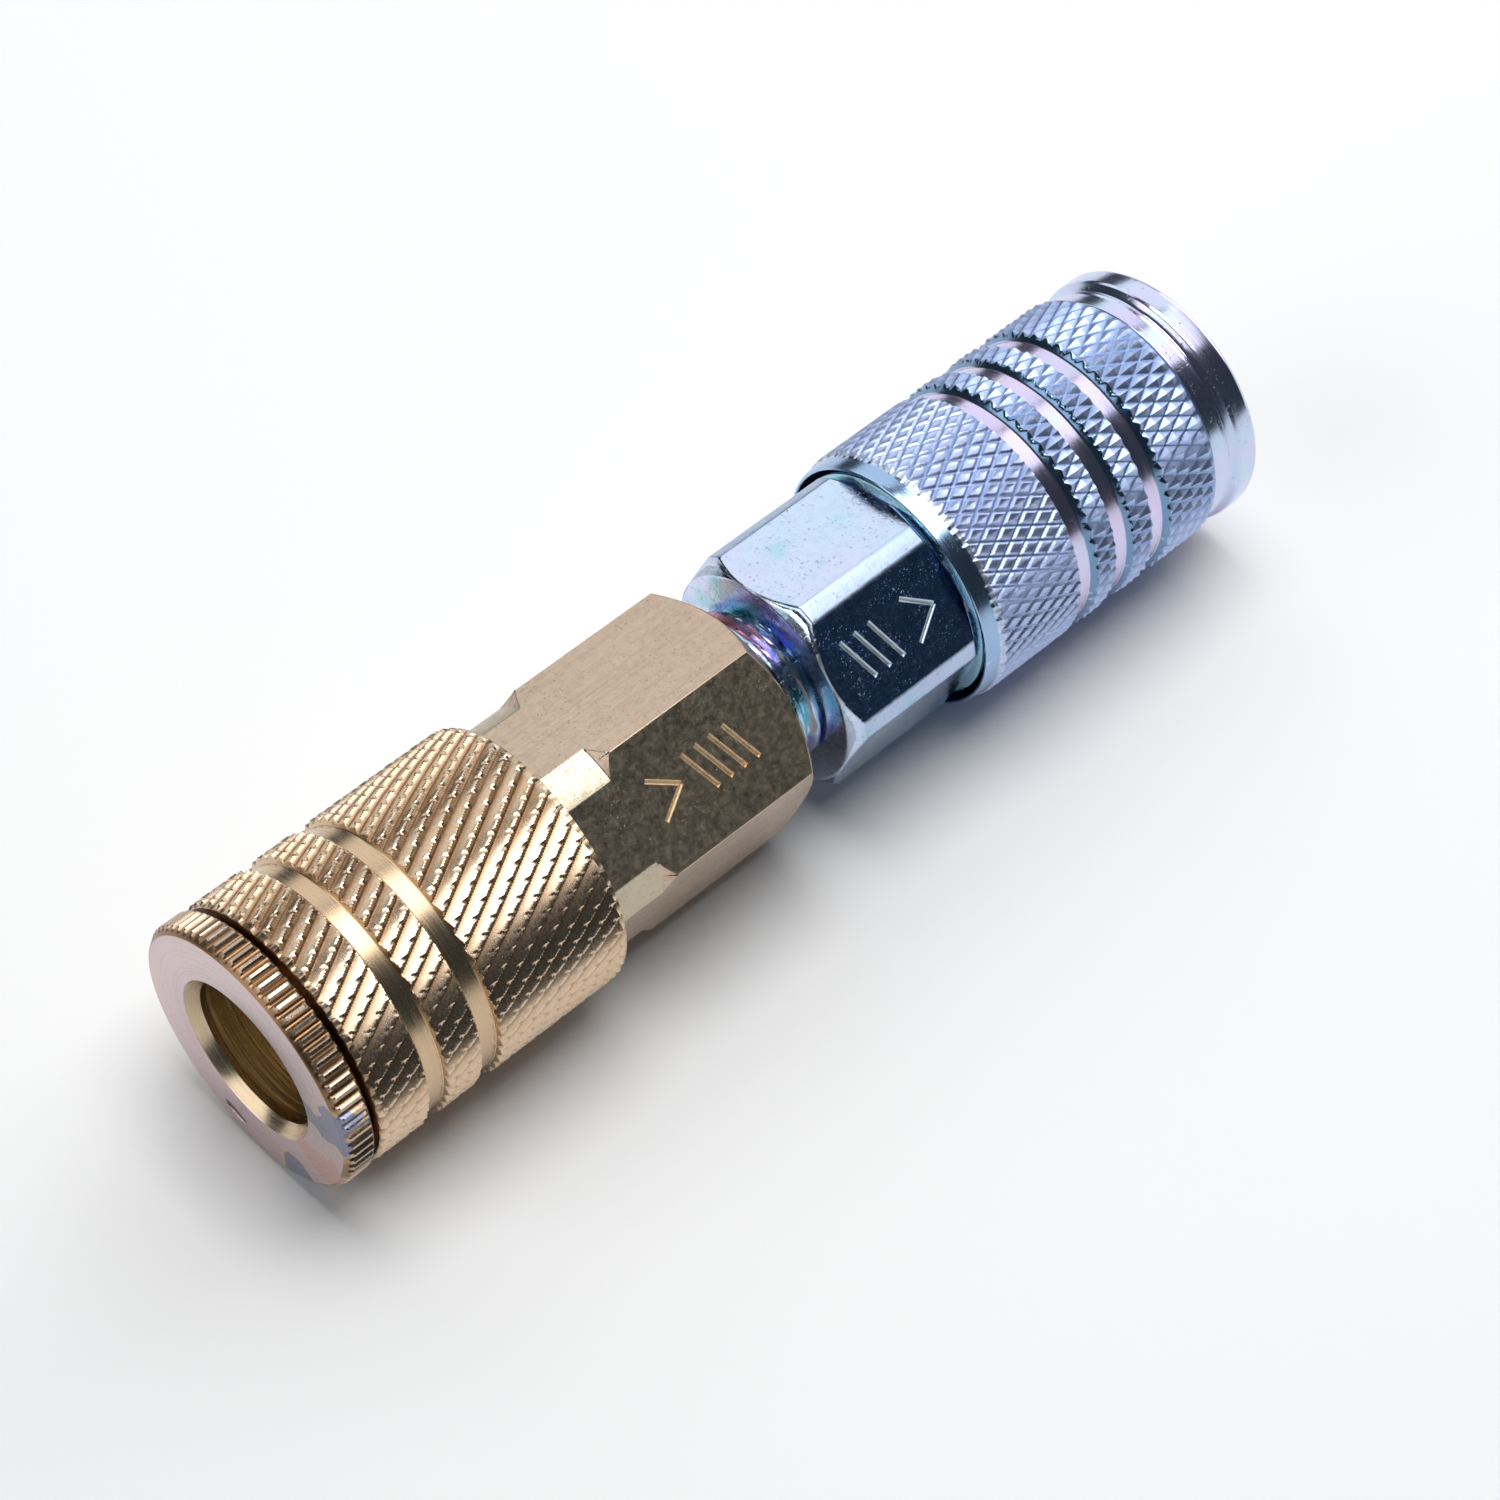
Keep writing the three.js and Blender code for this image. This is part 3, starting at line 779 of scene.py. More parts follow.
# %% Springs
def spring_piece(name, coupler, node, mean, wire, turns):
    near, far = span(node)
    steps = turns * 48
    start, end = near + wire / 2, far - wire / 2
    bm = bmesh.new()
    bmesh.ops.create_circle(bm, cap_ends=False, segments=14, radius=wire / 2)
    bmesh.ops.rotate(bm, verts=bm.verts, cent=(0, 0, 0), matrix=Matrix.Rotation(math.pi / 2, 3, "X"))
    bmesh.ops.translate(bm, verts=bm.verts, vec=(start, 0, mean))
    shift = Vector(((end - start) / steps, 0, 0))
    first = bm.edges[:]
    made = bmesh.ops.spin(bm, geom=bm.verts[:] + first, cent=(0, 0, 0), axis=(1, 0, 0), dvec=shift,
                          angle=FULL_TURN * turns, steps=steps, use_merge=False)
    last = [g for g in made["geom_last"] if isinstance(g, bmesh.types.BMEdge)]
    bmesh.ops.contextual_create(bm, geom=first)
    bmesh.ops.contextual_create(bm, geom=last)
    bmesh.ops.recalc_face_normals(bm, faces=bm.faces)
    return finish_mesh(bm, name, coupler, 50)


SPRINGS = {
    "sleeve_spring": {"mean": 9.45, "wire": 1.1, "turns": 5, "joint": "sleeve_slide", "travel": 4.0},
    "valve_spring": {"mean": 3.05, "wire": 0.7, "turns": 5, "joint": "valve_slide", "travel": 3.0},
}
for coupler in COUPLERS:
    for kind, spec in SPRINGS.items():
        node = f"{coupler}_{kind}"
        piece = spring_piece(node + "_wound", coupler, node, spec["mean"], spec["wire"], spec["turns"])
        settle(piece, node)
        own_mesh(piece)
print("springs done")

# %% Small turned pieces
def small_turned(coupler):
    """Rows of node, piece name, outline, rounding, steps and slot."""
    def between(inner, outer, node):
        return box_outline(inner, outer, *span(f"{coupler}_{node}"))

    near, far = span(coupler + "_valve_poppet")
    head_far = span(coupler + "_valve_seal")[0] - 0.1
    head_near = head_far - 1.4
    poppet = [
        (0, near), (2.0, near), (2.0, head_near), (5.2, head_near), (5.2, head_far),
        (2.6, head_far), (2.6, far - 0.5), (2.1, far), (0, far),
    ]
    near, far = span(coupler + "_plug_seal")
    lip = [(4.75, near), (5.85, near), (5.85, far), (4.75, far), (4.5, far - 0.5),
           (4.62, (near + far) / 2), (4.5, near + 0.5)]
    return [
        ("valve_poppet", "poppet_turned", poppet, 0.1, 96, METAL[coupler]),
        ("plug_seal", "plug_lip_seal", lip, 0.15, 128, "nitrile"),
        ("valve_seal", "valve_face", between(2.75, 5.0, "valve_seal"), 0.2, 96, "nitrile"),
        ("stop_ring", "stop_ring_flat", between(8.15, 10.5, "stop_ring"), 0.1, 128, "copper"),
        ("spring_washer", "washer_flat", between(8.8, 10.1, "spring_washer"), 0.1, 128, "hard_steel"),
    ]


def o_ring(coupler):
    near, far = span(coupler + "_body_oring")
    middle, wire = (near + far) / 2, (far - near) / 2
    angles = [FULL_TURN * k / 16 for k in range(16)]
    ring = [(7.95 + wire * math.cos(a), middle + wire * math.sin(a)) for a in angles]
    return finish_mesh(spin_outline(ring, 96), coupler + "_oring_round", coupler)


def valve_guide(coupler):
    near, far = span(coupler + "_valve_guide")
    guide = plain_object(spin_outline(box_outline(2.25, 5.95, near, far), 96), "guide")
    holes = bmesh.new()
    lie = Matrix.Translation(((near + far) / 2, 0, 4.1)) @ Matrix.Rotation(math.pi / 2, 4, "Y")
    for k in range(4):
        turn = Matrix.Rotation(FULL_TURN * (k + 0.5) / 4, 4, "X")
        bmesh.ops.create_cone(holes, cap_ends=True, segments=28, radius1=1, radius2=1, depth=4,
                              matrix=turn @ lie)
    boolean(guide, plain_object(holes, "guide_holes"), "DIFFERENCE")
    return seal_mesh(guide, coupler + "_guide_drilled", coupler, 0)


for coupler in COUPLERS:
    for node, name, outline, size, steps, slot in small_turned(coupler):
        ring = outline[0][0] > 0  # an outline that starts on the axis is not closed
        piece = turned_piece(f"{coupler}_{name}", coupler, outline, size, steps, ring)
        settle(piece, f"{coupler}_{node}")
    settle(o_ring(coupler), coupler + "_body_oring")
    settle(valve_guide(coupler), coupler + "_valve_guide")
print("pieces:", len(pieces))

# %% [markdown]
# ## Floor and lights
#
# Polished metal shows what stands around it. The key hangs straight overhead, where only the
# leaning flanks of the knurl and the tapers mirror it. Seen from this camera, cylinders and
# flats mirror what stands further along the row, so two weaker lights hang there, one above and
# one behind. The front stays dark, so that the flats that face it stay deep, and the pale floor
# fills the undersides. Each light is a rectangle that faces the object. Its brightness is given
# as radiance, so that its size can change by itself.

# %% Floor
floor_bm = bmesh.new()
bmesh.ops.create_grid(floor_bm, x_segments=1, y_segments=1, size=3.0)
bmesh.ops.translate(floor_bm, verts=floor_bm.verts, vec=(0, 0, cad_box[0][2]))
floor = plain_object(floor_bm, "floor")
floor_finish = bpy.data.materials.new("floor_paper")
floor_finish.use_nodes = True
floor_shader = floor_finish.node_tree.nodes["Principled BSDF"]
floor_shader.inputs["Base Color"].default_value = (0.97, 0.97, 0.97, 1)
floor_shader.inputs["Roughness"].default_value = 0.9
floor.data.materials.append(floor_finish)
print("floor at", round(cad_box[0][2] / MM, 2), "mm")


# %% Soft lights
def soft_light(name, direction, distance, size, radiance):
    data = bpy.data.lights.new(name, "AREA")
    data.shape = "RECTANGLE"
    data.size, data.size_y = size
    data.energy = radiance * math.pi * size[0] * size[1]
    lamp = bpy.data.objects.new(name, data)
    towards = Vector(direction).normalized()
    facing = towards.to_track_quat("Z", "Y").to_matrix().to_4x4()
    lamp.matrix_world = Matrix.Translation(towards * distance) @ facing
    bpy.context.scene.collection.objects.link(lamp)


soft_light("key", (0.06, 0.0, 1.0), 0.6, (0.5, 0.26), 4.4)
soft_light("overhead", (0.43, -0.04, 0.9), 0.62, (0.38, 0.34), 1.35)
soft_light("back", (0.42, 0.64, 0.58), 0.75, (0.9, 0.5), 1.0)
soft_light("left", (-0.85, 0.25, 0.45), 0.8, (0.7, 0.6), 1.5)
soft_light("right", (0.95, 0.1, 0.35), 0.8, (0.6, 0.5), 2.0)
world = bpy.data.worlds.new("room")
world.use_nodes = True
background = world.node_tree.nodes["Background"]
background.inputs["Color"].default_value = (0.44, 0.55, 0.66, 1)
background.inputs["Strength"].default_value = 0.07
bpy.context.scene.world = world
bpy.context.scene.view_settings.view_transform = "Standard"
bpy.context.scene.view_settings.exposure = 0.14

# %% [markdown]
# ## Shared effects
#
# Every metal here shows the same few things: lathe marks that follow the turning, fine
# scratches, dark specks, slow changes of colour, and a darker colour the deeper a surface was
# pressed below the turned surface, which on the zinc is painted shade. Each effect is one node
# group, built once. All of them read the object's own coordinates, where the axis of the pair is
# X, so they stay with their piece when it moves.

# %% Node helpers
def is_socket(value):
    return isinstance(value, bpy.types.NodeSocket)


def opaque(value):
    """A colour of three numbers gets full alpha; a socket stays as it is."""
    return value if is_socket(value) else (*value, 1.0)


class Graph:
    """Places nodes in a tree. A keyword names an input, or i and a number its place."""

    def __init__(self, tree):
        self.tree = tree

    def put(self, kind, settings=None, **inputs):
        node = self.tree.nodes.new("ShaderNode" + kind)
        for name, value in (settings or {}).items():
            setattr(node, name, value)
        for name, value in inputs.items():
            key = int(name[1:]) if name[0] == "i" and name[1:].isdigit() else name.replace("_", " ")
            if is_socket(value):
                self.tree.links.new(value, node.inputs[key])
            else:
                node.inputs[key].default_value = value
        return node

    def math(self, operation, a, b=0.0, clamp=False):
        return self.put("Math", {"operation": operation, "use_clamp": clamp}, i0=a, i1=b).outputs[0]

    def plus(self, a, b):
        return self.math("ADD", a, b)

    def minus(self, a, b):
        return self.math("SUBTRACT", a, b)

    def times(self, a, b):
        return self.math("MULTIPLY", a, b)

    def more(self, value, mask, amount):
        return self.plus(value, self.times(mask, amount))

    def ramp(self, value, low, high, to_low=0.0, to_high=1.0):
        return self.put("MapRange", {"clamp": True}, Value=value, From_Min=low, From_Max=high,
                        To_Min=to_low, To_Max=to_high).outputs[0]

    def mix(self, factor, a, b):
        return self.put("Mix", {"data_type": "RGBA"}, i0=factor, i6=opaque(a), i7=opaque(b)).outputs[2]

    def tint(self, color, mask, amount, shade):
        return self.mix(self.times(mask, amount), color, shade)

    def noise(self, vector, scale, detail=3.0, roughness=0.55):
        return self.put("TexNoise", Vector=vector, Scale=scale, Detail=detail,
                        Roughness=roughness).outputs[0]

    def stretch(self, vector, along, around):
        return self.put("VectorMath", {"operation": "MULTIPLY"}, i0=vector,
                        i1=(along, around, around)).outputs[0]

    def use(self, group, vector, **inputs):
        return self.put("Group", {"node_tree": group}, Vector=vector, **inputs).outputs[0]


def make_group(name, inputs, output, build):
    """One group with a vector and numbers in, and the value that build returns out."""
    tree = bpy.data.node_groups.new(name, "ShaderNodeTree")
    tree.interface.new_socket("Vector", in_out="INPUT", socket_type="NodeSocketVector")
    for label, value in inputs.items():
        socket = tree.interface.new_socket(label, in_out="INPUT", socket_type="NodeSocketFloat")
        socket.default_value = value
    tree.interface.new_socket(output, in_out="OUTPUT", socket_type="NodeSocketFloat")
    given = tree.nodes.new("NodeGroupInput").outputs
    leave = tree.nodes.new("NodeGroupOutput")
    tree.links.new(build(Graph(tree), given), leave.inputs[0])
    print("group:", name)
    return tree


AxisParts = namedtuple("AxisParts", "x radius across rise")


def axis_parts(graph, vector):
    """Distance along the axis, distance from it, and the two across, in millimetres."""
    scaled = graph.put("VectorMath", {"operation": "SCALE"}, Vector=vector, Scale=1000.0).outputs[0]
    x, across, rise = graph.put("SeparateXYZ", Vector=scaled).outputs
    flat = graph.put("CombineXYZ", X=0.0, Y=across, Z=rise).outputs[0]
    radius = graph.put("VectorMath", {"operation": "LENGTH"}, Vector=flat).outputs["Value"]
    return AxisParts(x, radius, across, rise)


# %% Turning marks
def turning(graph, given):
    parts = axis_parts(graph, given["Vector"])
    place = graph.put("CombineXYZ", X=graph.times(parts.x, given["Per mm"]),
                      Y=graph.times(parts.radius, given["Per mm"]),
                      Z=graph.times(parts.across, 0.12)).outputs[0]
    return graph.noise(place, 1.0, 2.0, 0.6)


turning_marks = make_group("turning_marks", {"Per mm": 6.0}, "Height", turning)


# %% Scratches, all round and along the bar
def scratches(graph, given):
    masks = []
    for turn in ((0.3, 0.5, 0.2), (1.1, 0.2, 0.9), (0.4, 1.3, 2.0)):
        turned = graph.put("VectorRotate", {"rotation_type": "EULER_XYZ"}, Vector=given["Vector"],
                           Rotation=turn).outputs[0]
        drawn = graph.stretch(turned, 350.0, 6500.0)
        masks.append(graph.ramp(graph.noise(drawn, 1.0, 1.0), 0.70, 0.76))
    every = graph.math("MAXIMUM", graph.math("MAXIMUM", masks[0], masks[1]), masks[2])
    patchy = graph.ramp(graph.noise(given["Vector"], 260.0, 2.0), 0.42, 0.62)
    return graph.times(graph.times(every, patchy), given["Amount"])


fine_scratches = make_group("fine_scratches", {"Amount": 0.5}, "Mask", scratches)


# %% Specks
def dark_specks(graph, given):
    cells = graph.put("TexVoronoi", {"feature": "F1"}, Vector=given["Vector"], Scale=given["Per m"])
    dots = graph.ramp(cells.outputs["Distance"], 0.16, 0.3, 1.0, 0.0)
    chance = graph.put("SeparateColor", Color=cells.outputs["Color"]).outputs[0]
    some = graph.ramp(graph.plus(chance, graph.noise(given["Vector"], 220.0, 3.0)), 1.05, 1.3)
    return graph.times(graph.times(dots, some), given["Amount"])


specks = make_group("specks", {"Per m": 1600.0, "Amount": 0.5}, "Mask", dark_specks)


# %% Depth below the turned surface
def depth_below(graph, given):
    below = graph.minus(given["Radius mm"], axis_parts(graph, given["Vector"]).radius)
    return graph.math("DIVIDE", below, given["Depth mm"], clamp=True)


pressed_depth = make_group("pressed_depth", {"Radius mm": 11.6, "Depth mm": 0.36}, "Mask", depth_below)


# %% Edge wear
def worn_edges(graph, given):
    pointed = graph.put("NewGeometry").outputs["Pointiness"]
    worn = graph.ramp(pointed, given["From"], given["To"])
    return graph.times(worn, graph.ramp(graph.noise(given["Vector"], 900.0, 3.0), 0.3, 0.6))


edge_wear = make_group("edge_wear", {"From": 0.51, "To": 0.56}, "Mask", worn_edges)


# %% One flat of the hexagon, at chosen depths
def layer_of_flat(graph, given):
    parts = axis_parts(graph, given["Vector"])
    angle = graph.math("RADIANS", given["Degrees"])
    sine, cosine = graph.math("SINE", angle), graph.math("COSINE", angle)
    height = graph.minus(graph.times(parts.rise, cosine), graph.times(parts.across, sine))
    side = graph.plus(graph.times(parts.rise, sine), graph.times(parts.across, cosine))
    below = graph.minus(HEX_HALF, height)
    above_deep = graph.math("LESS_THAN", below, given["Deep mm"])
    past_shallow = graph.math("GREATER_THAN", below, given["Shallow mm"])
    near = graph.math("LESS_THAN", graph.math("ABSOLUTE", side), given["Half width mm"])
    return graph.times(graph.times(above_deep, past_shallow), near)


flat_layer = make_group("flat_layer", {"Degrees": 48.0, "Shallow mm": 0.02, "Deep mm": 0.2,
                                       "Half width mm": 2.3}, "Mask", layer_of_flat)


# %% Where the sleeve's grooves were turned
def groove_mask(graph, x, coupler):
    far = span(coupler + "_sleeve")[1]
    half = GROOVE_HALF[coupler]
    mask = 0.0
    for setback in GROOVE_SETBACKS[coupler]:
        middle = (to_row(coupler) @ Vector((far - setback, 0, 0))).x
        away = graph.math("ABSOLUTE", graph.minus(x, middle))
        mask = graph.math("MAXIMUM", mask, graph.ramp(away, half - 0.06, half, 1.0, 0.0))
    return mask


print("groups:", len(bpy.data.node_groups))

# %% [markdown]
# ## Brass
#
# New brass is pinkish tan where the bar was drawn, paler where a tool has just cut it, and
# darker brown the deeper the knurl is pressed. The faces sunk behind the nose's front carry
# painted shade, nearly black, and the hexagon's front flat a painted dull olive shade. The bar's
# flats are duller than the turned surfaces, with long drawing lines, specks and small dark pits.
# One recipe makes every brass piece, and the numbers say how rough, how lined and how darkened
# each one is.

# %% Starting and closing a material
def start_material(name):
    material = bpy.data.materials.new(name)
    material.use_nodes = True
    graph = Graph(material.node_tree)
    shader = material.node_tree.nodes["Principled BSDF"]
    place = graph.put("TexCoord").outputs["Object"]
    return material, graph, shader, place


def close_material(material, graph, shader, color, roughness, height, distance=0.00003, metallic=1.0):
    links = graph.tree.links
    links.new(color, shader.inputs["Base Color"])
    links.new(roughness, shader.inputs["Roughness"])
    shader.inputs["Metallic"].default_value = metallic
    bump = graph.put("Bump", Height=height, Distance=distance, Strength=1.0)
    links.new(bump.outputs[0], shader.inputs["Normal"])
    return material


def scaled(color, factor):
    return [min(0.95, channel * factor) for channel in color]


# The thin skin of a flat, which takes the painted shade of the hexagons' front flats.
SKIN = {"Shallow_mm": -0.02, "Deep_mm": 0.02}
MARKED_FLAT = {"brass": 48.0, "steel": 50.0}
nose_x = cad_box[0][0]
print("marked flats:", MARKED_FLAT)


# %% The drawn bar of the brass hexagon
def drawn_bar(graph, place, base, color, rough, height):
    grain = graph.noise(graph.stretch(place, 70.0, 4200.0), 1.0, 3.0, 0.65)
    color = graph.mix(graph.ramp(grain, 0.48, 0.72, 0.0, 0.3), color, scaled(base, 0.55))
    height = graph.more(height, grain, 0.16)
    mottle = graph.noise(place, 3400.0, 3.0, 0.6)
    color = graph.mix(graph.ramp(mottle, 0.52, 0.74, 0.0, 0.25), color, scaled(base, 0.6))
    rough = graph.plus(rough, graph.ramp(mottle, 0.4, 0.7, -0.04, 0.06))
    reach = axis_parts(graph, place).radius
    turned_down = graph.times(graph.ramp(reach, 10.16, 10.19, 1.0, 0.0), graph.ramp(reach, 10.08, 10.11))
    color = graph.tint(color, turned_down, 0.6, (0.54, 0.50, 0.37))
    flat = MARKED_FLAT["brass"]
    # Painted shade: the front flat, which carries the marks, gets a dull olive tint that stands for the
    # dark reflection it shows.
    face = graph.use(flat_layer, place, Degrees=flat, Half_width_mm=5.4, **SKIN)
    color = graph.tint(color, face, 0.4, (0.57, 0.52, 0.34))
    cut = graph.use(flat_layer, place, Degrees=flat)
    color = graph.mix(cut, color, (0.95, 0.72, 0.46))
    return color, graph.more(rough, cut, 0.12), height


print("bar recipe ready")


# %% Tones by depth on the brass sleeve and nose, and painted shade behind the nose's face
def sleeve_depth_tones(graph, parts, low, color):
    turned = groove_mask(graph, parts.x, "brass")
    color = graph.mix(graph.ramp(low, 0.0, 0.25, 0.35, 0.0), color, (0.86, 0.70, 0.52))
    # Darker the deeper the knurl is pressed, outside the turned grooves.
    valley = graph.times(graph.ramp(low, 0.36, 0.72, 0.0, 0.85), graph.minus(1.0, turned))
    return graph.tint(color, turned, 0.8, (0.60, 0.44, 0.28)), valley


def nose_tones_and_painted_shade(graph, parts, low, color):
    reach = parts.radius
    # The knurled rim is a darker brown and the mouth golden; the rim's teeth get darker the deeper they
    # are pressed.
    color = graph.mix(graph.ramp(reach, 10.95, 11.1, 0.0, 0.85), color, (0.46, 0.355, 0.25))
    color = graph.mix(graph.ramp(reach, 7.0, 7.15, 0.85, 0.0), color, (0.60, 0.47, 0.29))
    valley = graph.times(graph.ramp(reach, 11.0, 11.1), graph.ramp(low, 0.05, 0.45, 0.0, 0.9))
    # Painted shade: the faces sunk behind the front face, which show in the seam by the sleeve, are
    # painted nearly black.
    ring = graph.times(graph.ramp(reach, 8.95, 9.0), graph.ramp(reach, 10.3, 10.4, 1.0, 0.0))
    face = nose_x / MM
    sunk = graph.times(graph.ramp(parts.x, face + 0.02, face + 0.05), ring)
    return graph.tint(color, sunk, 0.95, (0.13, 0.09, 0.11)), valley


def stained(graph, place, color, point, reach, shade):
    away = graph.put("VectorMath", {"operation": "DISTANCE"}, i0=place, i1=point).outputs["Value"]
    edge = graph.times(graph.noise(place, 330.0, 3.0, 0.5), 2.6)
    ragged = graph.plus(graph.math("DIVIDE", away, reach), edge)
    color = graph.mix(graph.ramp(ragged, 2.2, 2.5, 0.5, 0.0), color, (0.70, 0.50, 0.30))
    return graph.mix(graph.ramp(ragged, 2.12, 2.2, 0.9, 0.0), color, shade)


TONE_AND_SHADE_RECIPES = {"sleeve": sleeve_depth_tones, "nose": nose_tones_and_painted_shade}
print("dirt recipes:", list(TONE_AND_SHADE_RECIPES))


# %% Brass recipe
def brass_material(name, base, shade, roughness, lines, per_mm=5.0, tones_and_shade=None, flats=False,
                   specked=0.3, scratched=0.5, tarnish=(), wear=0.5):
    material, graph, shader, place = start_material(name)
    color = graph.tint(base, graph.ramp(graph.noise(place, 190.0, 4.0), 0.36, 0.64), 0.55, shade)
    if flats:
        marks = graph.noise(place, 1500.0)
    else:
        marks = graph.use(turning_marks, place, Per_mm=per_mm)
    color = graph.mix(graph.ramp(marks, 0.5, 0.8, 0.0, 0.22), color, scaled(base, 0.62))
    rough = graph.ramp(marks, 0.3, 0.7, roughness * 0.82, roughness * 1.22)
    height = graph.times(marks, lines)
    if flats:
        color, rough, height = drawn_bar(graph, place, base, color, rough, height)
    if tones_and_shade:
        low = graph.use(pressed_depth, place, Radius_mm=11.6, Depth_mm=0.6)
        color, valley = TONE_AND_SHADE_RECIPES[tones_and_shade](graph, axis_parts(graph, place), low, color)
        # Darker brown and rougher the deeper the knurl or the rim's teeth are pressed.
        color = graph.mix(valley, color, (0.25, 0.14, 0.065))
        rough = graph.more(rough, valley, 0.1)
    for point, reach, stain in tarnish:
        color = stained(graph, place, color, point, reach, stain)
    spots = graph.use(specks, place, Per_m=2900.0, Amount=specked)
    color = graph.mix(spots, color, (0.09, 0.07, 0.06))
    nicks = graph.use(fine_scratches, place, Amount=scratched)
    color = graph.mix(nicks, color, (0.30, 0.24, 0.19))
    worn = graph.use(edge_wear, place, From=0.53, To=0.62)
    color = graph.tint(color, worn, wear, (0.93, 0.82, 0.64))
    height = graph.minus(height, graph.plus(graph.times(nicks, 0.5), graph.times(spots, 0.6)))
    return close_material(material, graph, shader, color, rough, height)


print("brass recipe ready")

# %% Brass finishes
TAN = (0.70, 0.53, 0.39)
GOLD = (0.64, 0.45, 0.27)
BLUE_STAIN = (0.20, 0.22, 0.32)
ROSE_STAIN = (0.62, 0.38, 0.34)
STAINS = (
    ((nose_x, -0.0098, 0.0014), 0.0026, BLUE_STAIN),
    ((nose_x, -0.0052, -0.0099), 0.0024, BLUE_STAIN),
    ((nose_x, -0.0082, -0.0050), 0.0024, ROSE_STAIN),
)
brass_finishes = {
    "brass_sleeve": brass_material("brass_knurled", TAN, GOLD, 0.25, 0.06, 7.0, tones_and_shade="sleeve",
                                   scratched=0.2, specked=0.1, wear=0.25),
    "brass_nose_ring": brass_material("brass_nose", (0.60, 0.47, 0.485), (0.58, 0.445, 0.43), 0.25,
                                      0.08, 6.0, tones_and_shade="nose", scratched=0.0, specked=0.15, wear=0.0,
                                      tarnish=STAINS),
    "brass_rear_body": brass_material("brass_bar", (0.60, 0.465, 0.36), (0.55, 0.43, 0.32), 0.36,
                                      0.03, 4.0, flats=True, specked=0.3, scratched=0.55, wear=0.2),
    "brass_barrel": brass_material("brass_bored", (0.66, 0.50, 0.28), (0.52, 0.38, 0.18), 0.32, 3.6, 2.2),
    "brass_valve_guide": brass_material("brass_turned", GOLD, TAN, 0.25, 0.5, 5.0),
}
brass_finishes["brass_valve_poppet"] = brass_finishes["brass_valve_guide"]
print("brass finishes:", len(set(brass_finishes.values())))

# %% [markdown]
# ## Zinc plate
#
# The steel coupler is zinc plated and passivated. The thin clear film on the zinc gives
# drifting tints, from pale blue through lilac to teal, and shows them most on smooth turned
# surfaces. The tints belong to the plating, so they follow the surface and not the eye. Painted
# shade is laid on as well: darker navy deep in the knurl, on the walls of its turned grooves and
# on the hexagon's front flat.

# %% The knurl under the plating
LILAC = (0.63, 0.60, 0.86)
PALE_BLUE = (0.55, 0.68, 0.86)
TEAL = (0.26, 0.60, 0.68)
ROSE = (0.68, 0.61, 0.84)


def plated_knurl(graph, place, rim_end, color, rough, height):
    low = graph.use(pressed_depth, place, Radius_mm=11.5, Depth_mm=0.6)
    x = axis_parts(graph, place).x
    turned = groove_mask(graph, x, "steel")
    rim = graph.ramp(x, rim_end, rim_end + 0.1, 1.0, 0.0)
    steely = graph.minus(1.0, graph.math("MAXIMUM", turned, rim))
    # Painted shade: the sloping walls of the turned grooves are painted dark navy, as they look where
    # they mirror the dark side of the room.
    groove_wall_shade = graph.times(turned, graph.ramp(low, 0.88, 0.97, 1.0, 0.0))
    color = graph.tint(color, groove_wall_shade, 0.8, (0.07, 0.23, 0.39))
    color = graph.tint(color, rim, 0.85, (0.27, 0.46, 0.68))
    color = graph.mix(steely, color, (0.46, 0.55, 0.83))
    # Painted shade: the knurl is painted a darker navy the deeper it is pressed.
    deep = graph.times(steely, graph.ramp(low, 0.15, 0.62, 0.0, 0.6))
    color = graph.mix(deep, color, (0.13, 0.27, 0.50))
    rough = graph.more(rough, steely, 0.19)
    grit = graph.times(steely, graph.ramp(graph.noise(place, 5200.0, 2.0), 0.5, 0.68))
    return color, graph.more(rough, grit, 0.1), graph.more(height, grit, 0.18)


print("knurl recipe ready")


# %% The plated hexagon and thread
def thread_film(graph, place):
    """The vivid film on the thread: crimson, navy, pale blue and teal, drifting along it."""
    film = graph.noise(graph.stretch(place, 620.0, 170.0), 1.0, 2.0)
    vivid = graph.mix(graph.ramp(film, 0.36, 0.46), (0.55, 0.16, 0.24), (0.10, 0.20, 0.52))
    vivid = graph.mix(graph.ramp(film, 0.47, 0.54), vivid, (0.55, 0.72, 0.86))
    return graph.mix(graph.ramp(film, 0.58, 0.66), vivid, (0.12, 0.52, 0.62))


def plated_bar(graph, place, collar_x, color, rough, height):
    mottle = graph.ramp(graph.noise(place, 1250.0, 5.0, 0.7), 0.46, 0.70)
    rough = graph.more(rough, mottle, 0.13)
    height = graph.more(height, mottle, 0.35)
    color = graph.tint(color, mottle, 0.25, (0.45, 0.60, 0.80))
    parts = axis_parts(graph, place)
    turned_down = graph.ramp(parts.radius, 10.44, 10.5)
    rough = graph.more(rough, turned_down, 0.26)
    color = graph.tint(color, turned_down, 0.6, (0.46, 0.58, 0.78))
    thread = graph.ramp(parts.radius, 6.95, 7.1, 1.0, 0.0)
    color = graph.tint(color, thread, 0.75, thread_film(graph, place))
    collar = graph.ramp(parts.x, collar_x - 0.12, collar_x + 0.05)
    color = graph.tint(color, collar, 0.8, (0.28, 0.60, 0.68))
    flat = MARKED_FLAT["steel"]
    # Painted shade: the front flat, which carries the marks, is tinted a speckled deep navy that stands
    # for the dark reflection it shows.
    face = graph.use(flat_layer, place, Degrees=flat, Half_width_mm=4.4, **SKIN)
    front_flat_shade_speckle = graph.ramp(graph.noise(place, 2600.0, 5.0, 0.75), 0.5, 0.64, 0.85, 0.35)
    color = graph.tint(color, face, front_flat_shade_speckle, (0.10, 0.27, 0.62))
    cut = graph.use(flat_layer, place, Degrees=flat)
    return graph.mix(cut, color, (0.80, 0.90, 0.97)), graph.more(rough, cut, 0.22), height


print("plated bar recipe ready")


